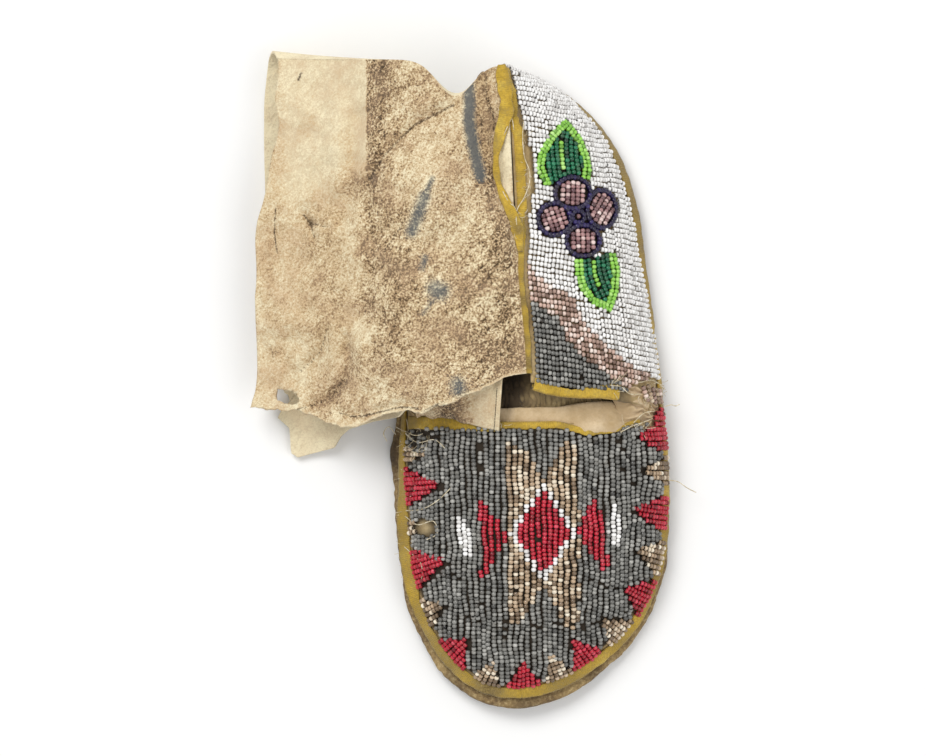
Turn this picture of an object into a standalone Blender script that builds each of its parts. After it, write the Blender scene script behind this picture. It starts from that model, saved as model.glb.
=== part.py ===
"""A beaded hard-sole moccasin for a left foot, standing empty, its ankle cuff flopped over the inner side.

Frame: +X is the outer (lateral) side, -Y the toe, +Y the heel, +Z up. The origin is on the floor, under the
middle of the sole. The tables below are in millimetres, and MM turns them to metres.

Every piece of the upper is cut from one function, side_grid: a section runs from the sole seam up to the
vamp's ridge, or to the topline of a quarter. Sections are placed by their share of the way from the heel end
(0) to the toe tip (1), along each side of the sole.
"""

import math

import bmesh
import bpy
import numpy as np

MM = 0.001

# Driving sizes
SOLE_THICK = 3.2
HIDE_WALL = 1.8
CUFF_WALL = 1.6
TAPE_THICK = 0.7
BEAD_HEIGHT = 1.6
GAP = 0.3
SEAT_GAP = 0.4
TAPE_WIDTH = 4.6
TOPLINE_TAPE_WIDTH = 4.4
BINDING_WIDTH = 2.4
BINDING_INSIDE = 2.0
CUFF_SET_BACK = 1.9
CUFF_LIFT = 0.6

# Where the cross slit lies: the throat's line across the shoe, and the shares of its two edges
THROAT_Y = -11.5
THROAT_SHARE = 0.562
QUARTER_SHARE = 0.546
THROAT_MARGIN_SHARE = 0.576
QUARTER_MARGIN_SHARE = 0.532
SLIT_ROW = 3

LATERAL = 1
MEDIAL = -1

# The sole's outline, from the heel end along the lateral side to the toe tip, and back along the medial side
#          x       y
OUTLINE = [
    (1.5, 115.5),
    (12.0, 110.5),
    (22.5, 101.5),
    (32.0, 88.5),
    (38.8, 70.0),
    (42.3, 47.0),
    (45.5, 20.0),
    (48.6, -10.0),
    (51.0, -42.0),
    (48.6, -70.0),
    (39.0, -91.5),
    (24.5, -106.2),
    (9.0, -115.8),
    (-5.0, -119.3),
    (-19.6, -117.2),
    (-34.0, -107.0),
    (-44.6, -90.0),
    (-50.2, -69.0),
    (-52.4, -45.0),
    (-52.6, -20.0),
    (-48.5, 8.0),
    (-42.0, 36.0),
    (-36.5, 62.0),
    (-31.0, 85.0),
    (-22.0, 102.0),
    (-10.5, 112.5),
]
TOE_ROW = 13
OUTLINE_SAMPLES = 400

# How far the seam lies inside the sole's outline
#            share  lateral  medial
SEAM_INSET = [
    (0.00, 2.2, 2.2),
    (0.20, 2.4, 2.4),
    (0.38, 2.2, 3.0),
    (0.50, 1.8, 3.4),
    (0.62, 2.0, 3.2),
    (0.75, 2.6, 2.8),
    (0.88, 3.6, 3.8),
    (1.00, 5.2, 5.2),
]

# The ridge of the vamp, from the throat to the front of the toe box
#              share    x      y     z
VAMP_RIDGE = [
    (0.562, -4.0, -13.0, 35.0),
    (0.620, -3.0, -26.0, 32.8),
    (0.700, -1.5, -42.0, 29.8),
    (0.800, -1.5, -58.0, 26.6),
    (0.900, -2.5, -71.0, 23.6),
    (1.000, -4.0, -80.0, 21.0),
]

# The topline of each quarter, from the heel seam to the front corner
#                   share    x      y      z
LATERAL_TOPLINE = [
    (0.000, -12.5, 118.6, 40.5),
    (0.045, -11.0, 113.0, 40.8),
    (0.100, -9.8, 105.0, 41.0),
    (0.200, -8.6, 84.0, 41.0),
    (0.300, -7.4, 62.0, 41.0),
    (0.400, -4.8, 38.0, 40.8),
    (0.500, -2.4, 13.5, 40.4),
    (0.546, -2.0, 2.4, 40.0),
]
MEDIAL_TOPLINE = [
    (0.000, -12.5, 118.6, 40.5),
    (0.020, -15.5, 116.8, 38.0),
    (0.045, -19.5, 114.0, 37.3),
    (0.100, -26.5, 105.5, 37.4),
    (0.200, -32.0, 84.0, 37.6),
    (0.300, -34.5, 60.0, 37.6),
    (0.400, -35.8, 36.0, 37.6),
    (0.500, -36.2, 13.0, 37.4),
    (0.546, -36.0, 2.0, 37.0),
]

# The slope of a section above the level: where it leaves the seam, and where it reaches the ridge or topline
#                share  rise  crest
LATERAL_SLOPES = [
    (0.00, 80.0, 58.0),
    (0.10, 68.0, 34.0),
    (0.22, 58.0, 22.0),
    (0.35, 66.0, 18.0),
    (0.50, 84.0, 17.0),
    (0.56, 84.0, 8.0),
    (0.65, 66.0, 1.0),
    (0.80, 52.0, 4.5),
    (0.90, 48.0, 9.5),
    (1.00, 46.0, 15.0),
]
MEDIAL_SLOPES = [
    (0.00, 80.0, 58.0),
    (0.10, 100.0, 62.0),
    (0.22, 110.0, 66.0),
    (0.35, 114.0, 64.0),
    (0.50, 104.0, 58.0),
    (0.56, 84.0, 8.0),
    (0.65, 66.0, 1.0),
    (0.80, 52.0, 4.5),
    (0.90, 48.0, 9.5),
    (1.00, 46.0, 15.0),
]
RISE_HANDLE = 0.36
CREST_HANDLE = 0.42

# Stations of the grids, as shares, and the rows between the sole tape and the topline tape
VAMP_STATIONS = [1.0, 0.968, 0.936, 0.904, 0.872, 0.84, 0.806, 0.77, 0.734, 0.698, 0.662, 0.628, 0.6]
QUARTER_STATIONS = [
    0.5, 0.464, 0.428, 0.392, 0.356, 0.32, 0.284, 0.248, 0.212, 0.176, 0.142, 0.11, 0.08, 0.052, 0.025, 0.0,
]
PANEL_ROWS = 10

# The sole's underside: where the toe spring, the arch and the curl of the edge rise, and how high
TOE_SPRING = 5.5
TOE_SPRING_FROM = -78.0
HEEL_LIFT = 1.0
HEEL_LIFT_FROM = 100.0
ARCH_RISE = 2.4
ARCH_FROM = -22.0
ARCH_TO = 46.0
ARCH_OUTER_X = -12.0
ARCH_INNER_X = -46.0
EDGE_CURL = 1.0
SPINE_SHARE = 0.68
SOLE_FLAT_INSET = 11.0

# The cuff's free edge, as it lies: the upper layer over the lateral shares, the lower one over the medial
#                 share    x       y      z
CUFF_EDGE_LATERAL = [
    (0.000, -96.0, 122.5, 15.5),
    (0.050, -98.0, 116.0, 16.5),
    (0.100, -100.0, 106.0, 17.0),
    (0.200, -102.5, 86.0, 17.0),
    (0.300, -104.0, 62.0, 17.0),
    (0.400, -103.2, 36.0, 17.0),
    (0.500, -103.5, 8.0, 17.0),
    (0.532, -106.0, -6.0, 16.5),
]
CUFF_EDGE_MEDIAL = [
    (0.000, -96.0, 122.5, 15.5),
    (0.030, -96.5, 126.4, 10.5),
    (0.060, -97.0, 126.6, 5.0),
    (0.090, -98.0, 123.0, 1.6),
    (0.130, -99.0, 114.0, 0.7),
    (0.200, -100.5, 96.0, 0.5),
    (0.300, -100.8, 66.0, 0.5),
    (0.400, -100.0, 36.0, 0.5),
    (0.500, -98.5, 8.0, 0.5),
    (0.532, -97.0, -10.0, 0.5),
]

# How each layer falls from its seam to its free edge: the way across, the lift, and the share of the fall
#             across lift  fall
UPPER_FALL = [
    (0.00, 0.0, 0.00),
    (0.10, 2.8, 0.00),
    (0.22, 5.0, 0.01),
    (0.34, 5.4, 0.05),
    (0.46, 4.2, 0.18),
    (0.60, 2.4, 0.42),
    (0.75, 0.8, 0.68),
    (0.88, 0.0, 0.87),
    (1.00, 0.0, 1.00),
]
LOWER_FALL = [
    (0.00, 0.0, 0.00),
    (0.05, 1.5, 0.00),
    (0.12, 1.7, 0.05),
    (0.22, 1.0, 0.18),
    (0.34, 0.3, 0.39),
    (0.48, 0.0, 0.64),
    (0.62, 0.0, 0.84),
    (0.78, 0.0, 0.965),
    (0.90, 0.0, 0.995),
    (1.00, 0.0, 1.00),
]
CUFF_ROWS = [0.0, 0.05, 0.12, 0.2, 0.29, 0.38, 0.47, 0.57, 0.68, 0.79, 0.9, 1.0]
FOLD_SHARE = 0.09
FOLD_STATIONS = [0.015, 0.03, 0.045, 0.06, 0.075]

# The front edge of each cuff layer swings towards the toe: the way across, and how far
#              across  swing
UPPER_FRONT = [
    (0.0, 0.0),
    (0.2, 1.5),
    (0.4, 5.0),
    (0.6, 9.0),
    (0.78, 6.5),
    (0.9, 2.0),
    (1.0, 0.0),
]
LOWER_FRONT = [
    (0.0, 0.0),
    (0.2, 11.0),
    (0.4, 9.5),
    (0.55, 11.0),
    (0.68, 17.0),
    (0.88, 17.0),
    (0.96, 7.0),
    (1.0, 1.0),
]
FRONT_REACH_SHARE = 0.07

# The pinch where the cuff is gathered behind the heel
PINCH_X = -30.0
PINCH_DEPTH = 13.0
PINCH_WIDTH = 9.0
PINCH_REACH = 20.0
HEEL_SEAM_X = -12.5
HEEL_SEAM_Y = 118.6

# The tongue: its rows behind the throat's edge, and how far it lies under the vamp's outer face
#              back   drop
TONGUE_ROWS = [
    (-8.0, 3.3),
    (-4.0, 3.2),
    (-1.0, 3.4),
    (4.0, 4.2),
    (9.0, 5.6),
    (14.0, 7.2),
]
TONGUE_LATERAL = 0.38
TONGUE_MEDIAL = 0.5
TONGUE_COLUMNS = 15
TONGUE_WALL = 1.4

# Colours and finish: red, green, blue, roughness
FINISHES = {
    "rawhide": (0.30, 0.20, 0.11, 0.75),
    "hide": (0.62, 0.50, 0.33, 0.85),
    "cuff_hide": (0.68, 0.57, 0.38, 0.9),
    "yellow_tape": (0.60, 0.40, 0.06, 0.8),
    "grey_beads": (0.20, 0.22, 0.21, 0.35),
    "white_beads": (0.80, 0.79, 0.76, 0.35),
}


def smooth_through(table, at):
    """Cubic pieces through a table's rows, whose first column is the place, read at the places `at`."""
    rows = np.asarray(table, dtype=float)
    knots = rows[:, 0]
    values = rows[:, 1:]
    slopes = np.gradient(values, knots, axis=0)
    at = np.clip(np.asarray(at, dtype=float), knots[0], knots[-1])
    low = np.clip(np.searchsorted(knots, at, side="right") - 1, 0, len(knots) - 2)
    width = (knots[low + 1] - knots[low])[..., None]
    u = (at - knots[low])[..., None] / width
    return (
        values[low] * (2 * u**3 - 3 * u**2 + 1)
        + slopes[low] * width * (u**3 - 2 * u**2 + u)
        + values[low + 1] * (3 * u**2 - 2 * u**3)
        + slopes[low + 1] * width * (u**3 - u**2)
    )


def unit(vectors):
    return vectors / np.maximum(np.linalg.norm(vectors, axis=-1, keepdims=True), 1e-9)


def half_outline(side):
    """One side of the sole's outline, from heel end to toe tip: shares, points and their inward directions.

    Shares are even lengths on each side of the throat's line, which both sides cross at THROAT_SHARE.
    """
    loop = np.array(OUTLINE + OUTLINE[:1])
    chords = np.concatenate([[0.0], np.cumsum(np.linalg.norm(np.diff(loop, axis=0), axis=1))])
    wrapped = np.concatenate([chords[-4:-1] - chords[-1], chords, chords[1:4] + chords[-1]])
    ring = np.concatenate([loop[-4:-1], loop, loop[1:4]])
    table = np.column_stack([wrapped, ring])
    heel = 0.0 if side == LATERAL else chords[-1]
    # One sample past each end gives both sides the same direction where they meet
    places = heel + (chords[TOE_ROW] - heel) * np.arange(-1, OUTLINE_SAMPLES + 2) / OUTLINE_SAMPLES
    dense = smooth_through(table, places)
    along = dense[2:] - dense[:-2]
    dense = dense[1:-1]
    steps = np.concatenate([[0.0], np.cumsum(np.linalg.norm(np.diff(dense, axis=0), axis=1))])
    inward = unit(np.column_stack([along[:, 1], -along[:, 0]]) * side)
    at_throat = np.interp(-THROAT_Y, -dense[:, 1], steps)
    return np.interp(steps, [0, at_throat, steps[-1]], [0, THROAT_SHARE, 1]), dense, inward


HALVES = {side: half_outline(side) for side in (LATERAL, MEDIAL)}


def edge_points(side, shares, inset):
    """Points of the sole's outline, moved inwards by `inset`."""
    place, dense, inward = HALVES[side]
    points = np.column_stack([np.interp(shares, place, dense[:, i]) for i in (0, 1)])
    turn = np.column_stack([np.interp(shares, place, inward[:, i]) for i in (0, 1)])
    return points + unit(turn) * np.reshape(inset, (-1, 1))


def seam_inset(side, shares):
    return smooth_through(SEAM_INSET, shares)[:, 0 if side == LATERAL else 1]


def sole_rise(x, y):
    """How high the sole's underside lies: the toe spring, the arch and the lift of the heel end."""
    toe = TOE_SPRING * (np.clip(TOE_SPRING_FROM - y, 0, None) / 41.0) ** 2
    heel = HEEL_LIFT * (np.clip(y - HEEL_LIFT_FROM, 0, None) / 15.0) ** 2
    along = np.clip((y - ARCH_FROM) / (ARCH_TO - ARCH_FROM), 0, 1)
    across = np.clip((ARCH_OUTER_X - x) / (ARCH_OUTER_X - ARCH_INNER_X), 0, 1)
    return toe + heel + ARCH_RISE * np.sin(math.pi * along) ** 2 * across**2


def sole_grid(side, shares):
    """Rings of the sole's underside, from its outline in to its middle line."""
    rings = []
    rule = [(0.0, EDGE_CURL), (seam_inset(side, shares), EDGE_CURL), (SOLE_FLAT_INSET, 0.0)]
    for inset, curl in rule:
        points = edge_points(side, shares, inset)
        rings.append(np.column_stack([points, sole_rise(*points.T) + curl]))
    both = (edge_points(LATERAL, shares, 0) + edge_points(MEDIAL, shares, 0)) / 2
    spine = both * (1.0, SPINE_SHARE)
    for share in (0.5, 1.0):
        points = rings[2][:, :2] * (1 - share) + spine * share
        rings.append(np.column_stack([points, sole_rise(*points.T)]))
    return np.stack(rings, axis=1)


def seam_line(side, shares, rise_angle):
    """Where the outer face of the upper meets the sole, lifted so that its wall clears the sole's top."""
    points = edge_points(side, shares, seam_inset(side, shares))
    top = sole_rise(*points.T) + EDGE_CURL + SOLE_THICK
    # A leaning wall dips below its outer edge inside, and an overhanging one dips with its tape outside
    lean = np.maximum(HIDE_WALL * np.cos(rise_angle), -(GAP + TAPE_THICK) * np.cos(rise_angle))
    return np.column_stack([points, top + SEAT_GAP + lean])


def side_grid(side, shares, crest_table, rows=None):
    """The outer face of the upper on one side: station by row, from the seam up to the ridge or topline.

    Each section is a cubic curve. It leaves the seam at the `rise` slope, reaches the crest at the `crest`
    slope, and is cut into equal lengths between the sole tape and the topline tape.
    """
    shares = np.asarray(shares, dtype=float)
    slopes = np.radians(smooth_through(LATERAL_SLOPES if side == LATERAL else MEDIAL_SLOPES, shares))
    start = seam_line(side, shares, slopes[:, 0])
    end = smooth_through(crest_table, shares)
    flat = end - start
    flat[:, 2] = 0
    inward = unit(flat)
    reach = np.linalg.norm(end - start, axis=1)[:, None]
    up = np.array([0.0, 0.0, 1.0])

    def direction(angle):
        return inward * np.cos(angle)[:, None] + up * np.sin(angle)[:, None]

    first = start + direction(slopes[:, 0]) * reach * RISE_HANDLE
    second = end - direction(slopes[:, 1]) * reach * CREST_HANDLE
    t = np.linspace(0, 1, 120)[:, None, None]
    dense = start * (1 - t) ** 3 + first * 3 * t * (1 - t) ** 2 + second * 3 * t**2 * (1 - t) + end * t**3
    steps = np.linalg.norm(np.diff(dense, axis=0), axis=2)
    lengths = np.concatenate([np.zeros((1, len(shares))), np.cumsum(steps, axis=0)])
    grid = []
    for station in range(len(shares)):
        whole = lengths[-1, station]
        if rows is None:
            inner = np.linspace(TAPE_WIDTH, whole - TOPLINE_TAPE_WIDTH, PANEL_ROWS)
            cuts = np.concatenate([[0.0], inner, [whole]])
        else:
            cuts = np.asarray(rows) * whole
        grid.append([np.interp(cuts, lengths[:, station], dense[:, station, axis]) for axis in range(3)])
    return np.transpose(np.array(grid), (0, 2, 1))


def finish(name, finish_name, shape):
    """Give an object its mesh, its smooth shading and its material."""
    mesh = bpy.data.meshes.new(name)
    shape.to_mesh(mesh)
    shape.free()
    thing = bpy.data.objects.new(name, mesh)
    bpy.context.scene.collection.objects.link(thing)
    mesh.shade_smooth()
    mesh.set_sharp_from_angle(angle=math.radians(40))
    red, green, blue, roughness = FINISHES[finish_name]
    material = bpy.data.materials.new(name)
    material.use_nodes = True
    shader = material.node_tree.nodes["Principled BSDF"]
    shader.inputs["Base Color"].default_value = (red, green, blue, 1)
    shader.inputs["Roughness"].default_value = roughness
    mesh.materials.append(material)
    return thing


def add_grid(shape, grid, side):
    """Quads between the points of a grid, facing out of the shoe."""
    stations, rows = grid.shape[:2]
    points = [[shape.verts.new(grid[i, j] * MM) for j in range(rows)] for i in range(stations)]
    for i in range(stations - 1):
        for j in range(rows - 1):
            corners = [points[i][j], points[i + 1][j], points[i + 1][j + 1], points[i][j + 1]]
            shape.faces.new(corners if side == LATERAL else corners[::-1])


def make_shell(name, finish_name, grids, thick, lift=0.0, outwards=False):
    """One closed wall from joined grids: `lift` moves it off the face, and it grows inwards or outwards."""
    shape = bmesh.new()
    for side, grid in grids:
        add_grid(shape, grid, side)
    bmesh.ops.remove_doubles(shape, verts=shape.verts, dist=0.02 * MM)
    thing = finish(name, finish_name, shape)
    if lift:
        raised = thing.modifiers.new("Lift", "DISPLACE")
        raised.direction = "NORMAL"
        raised.mid_level = 0.0
        raised.strength = lift * MM
    wall = thing.modifiers.new("Wall", "SOLIDIFY")
    wall.thickness = thick * MM
    wall.offset = 1.0 if outwards else -1.0
    wall.use_even_offset = True
    return thing


def make_binding(name, edge, into, outward, width):
    """A tape folded over a cut edge: a U section with square corners, carried along the edge."""
    inner = HIDE_WALL + GAP
    section = [
        (width, GAP),
        (width, GAP + TAPE_THICK),
        (-GAP - TAPE_THICK, GAP + TAPE_THICK),
        (-GAP - TAPE_THICK, -inner - TAPE_THICK),
        (BINDING_INSIDE, -inner - TAPE_THICK),
        (BINDING_INSIDE, -inner),
        (-GAP, -inner),
        (-GAP, GAP),
    ]
    rings = np.stack([edge + into * b + outward * n for b, n in section], axis=1) * MM
    shape = bmesh.new()
    points = [[shape.verts.new(point) for point in ring] for ring in rings]
    count = len(section)
    for low, high in zip(points, points[1:]):
        for j in range(count):
            k = (j + 1) % count
            shape.faces.new([low[j], low[k], high[k], high[j]])
    shape.faces.new(points[0])
    shape.faces.new(points[-1][::-1])
    bmesh.ops.recalc_face_normals(shape, faces=shape.faces)
    return finish(name, "yellow_tape", shape)


def edge_frame(edge, inside, side):
    """Along an edge: its points, the direction into the panel, and the outward direction."""
    along = unit(np.gradient(edge, axis=0))
    into = inside - edge
    into = unit(into - along * np.sum(into * along, axis=1, keepdims=True))
    return edge, into, unit(np.cross(along, into)) * side


def build_sole(shares):
    grids = [(side, sole_grid(side, shares)) for side in (LATERAL, MEDIAL)]
    # Its underside faces down, so each grid is turned, and the wall grows upwards
    return make_shell("sole", "rawhide", [(-side, grid) for side, grid in grids], SOLE_THICK)


def build_upper(vamp, quarter):
    """Vamp, the bridges beside the slit, and both quarters, as one wall."""
    grids = []
    for side in (LATERAL, MEDIAL):
        bridge = np.stack([vamp[side][-1, : SLIT_ROW + 1], quarter[side][0, : SLIT_ROW + 1]])
        grids += [(side, vamp[side]), (side, bridge), (side, quarter[side])]
    return make_shell("upper", "hide", grids, HIDE_WALL)


def build_sole_tape(vamp, quarter):
    """The tape over the seam, the lowest row of the upper all the way round."""
    grids = [(side, np.concatenate([vamp[side][:, :2], quarter[side][:, :2]])) for side in (LATERAL, MEDIAL)]
    return make_shell("sole_tape", "yellow_tape", grids, TAPE_THICK, GAP, outwards=True)


def trimmed(grid, margin):
    """The grid with its lowest row brought in by `margin`, so that a panel keeps clear of the tape below."""
    panel = grid.copy()
    panel[:, 0] += unit(grid[:, 1] - grid[:, 0]) * margin
    return panel


def build_beadwork(vamp, quarter):
    panels = [(side, trimmed(vamp[side][:-1, 1:], GAP)) for side in (LATERAL, MEDIAL)]
    make_shell("vamp_beadwork", "grey_beads", panels, BEAD_HEIGHT, GAP, outwards=True)
    for side, name in ((LATERAL, "lateral_beadwork"), (MEDIAL, "medial_beadwork")):
        panel = trimmed(quarter[side][1:, 1:-1], GAP)
        if side == MEDIAL:
            # The two panels keep a seam's width apart at the heel
            panel = panel[:-1]
        make_shell(name, "white_beads", [(side, panel)], BEAD_HEIGHT, GAP, outwards=True)


def build_bindings(vamp, quarter):
    first = SLIT_ROW + 1
    edge = np.concatenate([vamp[LATERAL][-1, first:], vamp[MEDIAL][-1, first:-1][::-1]])
    inside = np.concatenate([vamp[LATERAL][-2, first:], vamp[MEDIAL][-2, first:-1][::-1]])
    make_binding("throat_binding", *edge_frame(edge, inside, LATERAL), BINDING_WIDTH)
    for side, word, start, end, width in (
        (LATERAL, "lateral", 1, -1, TOPLINE_TAPE_WIDTH - 2 * GAP),
        (MEDIAL, "medial", 2, -2, BINDING_WIDTH),
    ):
        grid = quarter[side]
        top = grid.shape[1] - start + 1
        frame = edge_frame(grid[0, first:top], grid[1, first:top], -side)
        make_binding(f"{word}_front_binding", *frame, BINDING_WIDTH)
        frame = edge_frame(grid[start:end, -1], grid[start:end, -2], -side)
        make_binding(f"{word}_topline_binding", *frame, width)


def build_tongue(vamp):
    """A strip under the throat's edge: the vamp's last section, carried backwards and lowered row by row."""
    rows = np.asarray(TONGUE_ROWS)
    cuts = {
        LATERAL: np.linspace(TONGUE_LATERAL, 1.0, TONGUE_COLUMNS // 2 + 1),
        MEDIAL: np.linspace(1.0, TONGUE_MEDIAL, TONGUE_COLUMNS // 2 + 1)[1:],
    }
    stations = [THROAT_SHARE, THROAT_MARGIN_SHARE]
    edge = []
    inside = []
    for side in (LATERAL, MEDIAL):
        grid = side_grid(side, stations, VAMP_RIDGE, cuts[side])
        edge.append(grid[0])
        inside.append(grid[1])
    edge = np.concatenate(edge)
    inside = np.concatenate(inside)
    _, into, outward = edge_frame(edge, inside, LATERAL)
    grid = np.stack([edge - into * back - outward * drop for back, drop in rows], axis=0)
    # The rows run from under the vamp to the heel, and the columns from lateral to medial
    return make_shell("tongue", "hide", [(LATERAL, grid)], TONGUE_WALL)


def cuff_layer(side, shares, start):
    """The cuff from its seam to its free edge, station by row, for the stations of one side."""
    across = np.asarray(CUFF_ROWS)[None, :, None]
    edge_table = CUFF_EDGE_LATERAL if side == LATERAL else CUFF_EDGE_MEDIAL
    free = smooth_through(edge_table, shares)
    points = start[:, None, :] * (1 - across) + free[:, None, :] * across
    drop = (free[:, 2] - start[:, 2])[:, None]
    heights = {}
    for kind, table in (("upper", UPPER_FALL), ("lower", LOWER_FALL)):
        rule = smooth_through(table, CUFF_ROWS)
        heights[kind] = start[:, 2:3] + rule[:, 0] + drop * rule[:, 1]
    folded = np.clip(shares / FOLD_SHARE, 0, 1)[:, None] if side == MEDIAL else np.zeros((len(shares), 1))
    folded = folded**2 * (3 - 2 * folded)
    points[:, :, 2] = heights["upper"] * (1 - folded) + heights["lower"] * folded
    swing = smooth_through(UPPER_FRONT if side == LATERAL else LOWER_FRONT, CUFF_ROWS)[:, 0]
    near_front = np.exp(-(((QUARTER_MARGIN_SHARE - shares) / FRONT_REACH_SHARE) ** 2))[:, None]
    points[:, :, 1] -= swing * near_front
    from_notch = np.exp(-(((points[:, :, 0] - PINCH_X) / PINCH_WIDTH) ** 2))
    if side == LATERAL:
        near_heel = np.exp(-(HEEL_SEAM_Y - start[:, 1]) / PINCH_REACH)
    else:
        near_heel = np.clip((start[:, 0] - PINCH_X) / (HEEL_SEAM_X - PINCH_X), 0, 1)
    points[:, :, 1] -= PINCH_DEPTH * from_notch * near_heel[:, None]
    return points


def build_cuff(quarter, shares):
    """A soft tube, open in front, flattened and flopped over the medial side."""
    layers = []
    for side in (LATERAL, MEDIAL):
        table = LATERAL_TOPLINE if side == LATERAL else MEDIAL_TOPLINE
        stations = np.array(sorted(set(shares) | set(FOLD_STATIONS), reverse=True))
        stations = stations[stations <= QUARTER_MARGIN_SHARE]
        grid = side_grid(side, stations, table)
        _, into, _ = edge_frame(grid[:, -1], grid[:, -2], -side)
        start = grid[:, -1] - into * CUFF_SET_BACK + (0, 0, CUFF_LIFT)
        layers.append(cuff_layer(side, stations, start))
    sheet = np.concatenate([layers[0], layers[1][::-1][1:]])
    return make_shell("cuff", "cuff_hide", [(LATERAL, sheet)], CUFF_WALL)


def main():
    for thing in list(bpy.data.objects):
        bpy.data.objects.remove(thing, do_unlink=True)
    vamp_shares = VAMP_STATIONS + [THROAT_MARGIN_SHARE, THROAT_SHARE]
    quarter_shares = [QUARTER_SHARE, QUARTER_MARGIN_SHARE] + QUARTER_STATIONS
    vamp = {side: side_grid(side, vamp_shares, VAMP_RIDGE) for side in (LATERAL, MEDIAL)}
    quarter = {
        LATERAL: side_grid(LATERAL, quarter_shares, LATERAL_TOPLINE),
        MEDIAL: side_grid(MEDIAL, quarter_shares, MEDIAL_TOPLINE),
    }
    build_sole(np.array(vamp_shares + quarter_shares))
    build_upper(vamp, quarter)
    build_sole_tape(vamp, quarter)
    build_beadwork(vamp, quarter)
    build_bindings(vamp, quarter)
    build_tongue(vamp)
    build_cuff(quarter, quarter_shares)


main()
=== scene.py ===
"""Dress the beaded moccasin: rawhide sole, soft hide upper, cotton tapes, glass seed beads and slack cuff.

Lengths are in millimetres, in the frame of the CAD: +X is the outer (lateral) side, -Y the toe, +Z up. MM
turns them to metres. The upper is worked out as sections from the sole seam to the vamp's ridge, or to the
topline of a quarter, and every trim and bead is set on those sections.
"""
import math

import bmesh
import bpy
import numpy as np
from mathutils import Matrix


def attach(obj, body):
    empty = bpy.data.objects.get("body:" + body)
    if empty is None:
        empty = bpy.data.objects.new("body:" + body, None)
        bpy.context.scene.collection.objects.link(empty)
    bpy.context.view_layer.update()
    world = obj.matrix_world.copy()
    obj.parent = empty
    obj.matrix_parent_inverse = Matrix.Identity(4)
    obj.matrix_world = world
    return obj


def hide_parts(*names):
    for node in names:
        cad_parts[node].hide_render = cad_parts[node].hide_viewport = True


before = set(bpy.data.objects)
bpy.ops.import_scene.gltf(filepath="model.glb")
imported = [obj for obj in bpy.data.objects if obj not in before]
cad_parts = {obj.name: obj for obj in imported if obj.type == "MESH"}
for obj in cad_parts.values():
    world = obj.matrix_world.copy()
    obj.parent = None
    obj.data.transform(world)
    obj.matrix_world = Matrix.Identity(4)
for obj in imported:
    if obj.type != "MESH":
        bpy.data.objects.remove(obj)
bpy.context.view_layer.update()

MM = 0.001
LATERAL = 1
MEDIAL = -1
SIDES = (LATERAL, MEDIAL)
WORDS = {LATERAL: "lateral", MEDIAL: "medial"}

# Driving sizes of the shoe
SOLE_THICK = 3.2
HIDE_WALL = 1.8
CUFF_WALL = 1.2
TAPE_THICK = 0.7
GAP = 0.3
SEAT_GAP = 0.4
TAPE_WIDTH = 4.6
TOPLINE_TAPE_WIDTH = 4.4
THROAT_TAPE_WIDTH = 2.4
FRONT_TAPE_WIDTH = 3.1
EDGE_TAPE_WIDTH = 3.0
TAPE_TURNED_IN = 2.0
CUFF_SET_BACK = 0.7
CUFF_LIFT = 0.6
THROAT_Y = -11.5
THROAT_SHARE = 0.562
QUARTER_SHARE = 0.546
QUARTER_MARGIN_SHARE = 0.532
SLIT_ROW = 3
PANEL_ROWS = 10

# The sole's outline, from the heel end along the lateral side to the toe tip, and back along the medial side.
# Each row: x, y
OUTLINE = [
    (1.5, 115.5), (12, 110.5), (22.5, 101.5), (32, 88.5), (38.8, 70), (42.3, 47), (45.5, 20), (48.6, -10),
    (51, -42), (48.6, -70), (39, -91.5), (24.5, -106.2), (9, -115.8), (-5, -119.3), (-19.6, -117.2),
    (-34, -107), (-44.6, -90), (-50.2, -69), (-52.4, -45), (-52.6, -20), (-48.5, 8), (-42, 36), (-36.5, 62),
    (-31, 85), (-22, 102), (-10.5, 112.5),
]
TOE_ROW = 13
OUTLINE_SAMPLES = 400

# How far the seam lies inside the sole's outline. Each row: share, lateral, medial
SEAM_INSET = [
    (0, 2.2, 2.2), (0.2, 2.4, 2.4), (0.38, 2.2, 3), (0.5, 1.8, 3.4), (0.62, 2, 3.2), (0.75, 2.6, 2.8),
    (0.88, 3.6, 3.8), (1, 5.2, 5.2),
]

# The ridge of the vamp, from the throat to the front of the toe box. Each row: share, x, y, z
VAMP_RIDGE = [
    (0.562, -4, -13, 35), (0.62, -3, -26, 32.8), (0.7, -1.5, -42, 29.8), (0.8, -1.5, -58, 26.6),
    (0.9, -2.5, -71, 23.6), (1, -4, -80, 21),
]

# The topline of each quarter, from the heel seam to the front corner. Each row: share, x, y, z
TOPLINE = {
    LATERAL: [
        (0, -12.5, 118.6, 40.5), (0.045, -11, 113, 40.8), (0.1, -9.8, 105, 41), (0.2, -8.6, 84, 41),
        (0.3, -7.4, 62, 41), (0.4, -4.8, 38, 40.8), (0.5, -2.4, 13.5, 40.4), (0.546, -2, 2.4, 40),
    ],
    MEDIAL: [
        (0, -12.5, 118.6, 40.5), (0.02, -15.5, 116.8, 38), (0.045, -19.5, 114, 37.3),
        (0.1, -26.5, 105.5, 37.4), (0.2, -32, 84, 37.6), (0.3, -34.5, 60, 37.6), (0.4, -35.8, 36, 37.6),
        (0.5, -36.2, 13, 37.4), (0.546, -36, 2, 37),
    ],
}

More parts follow.
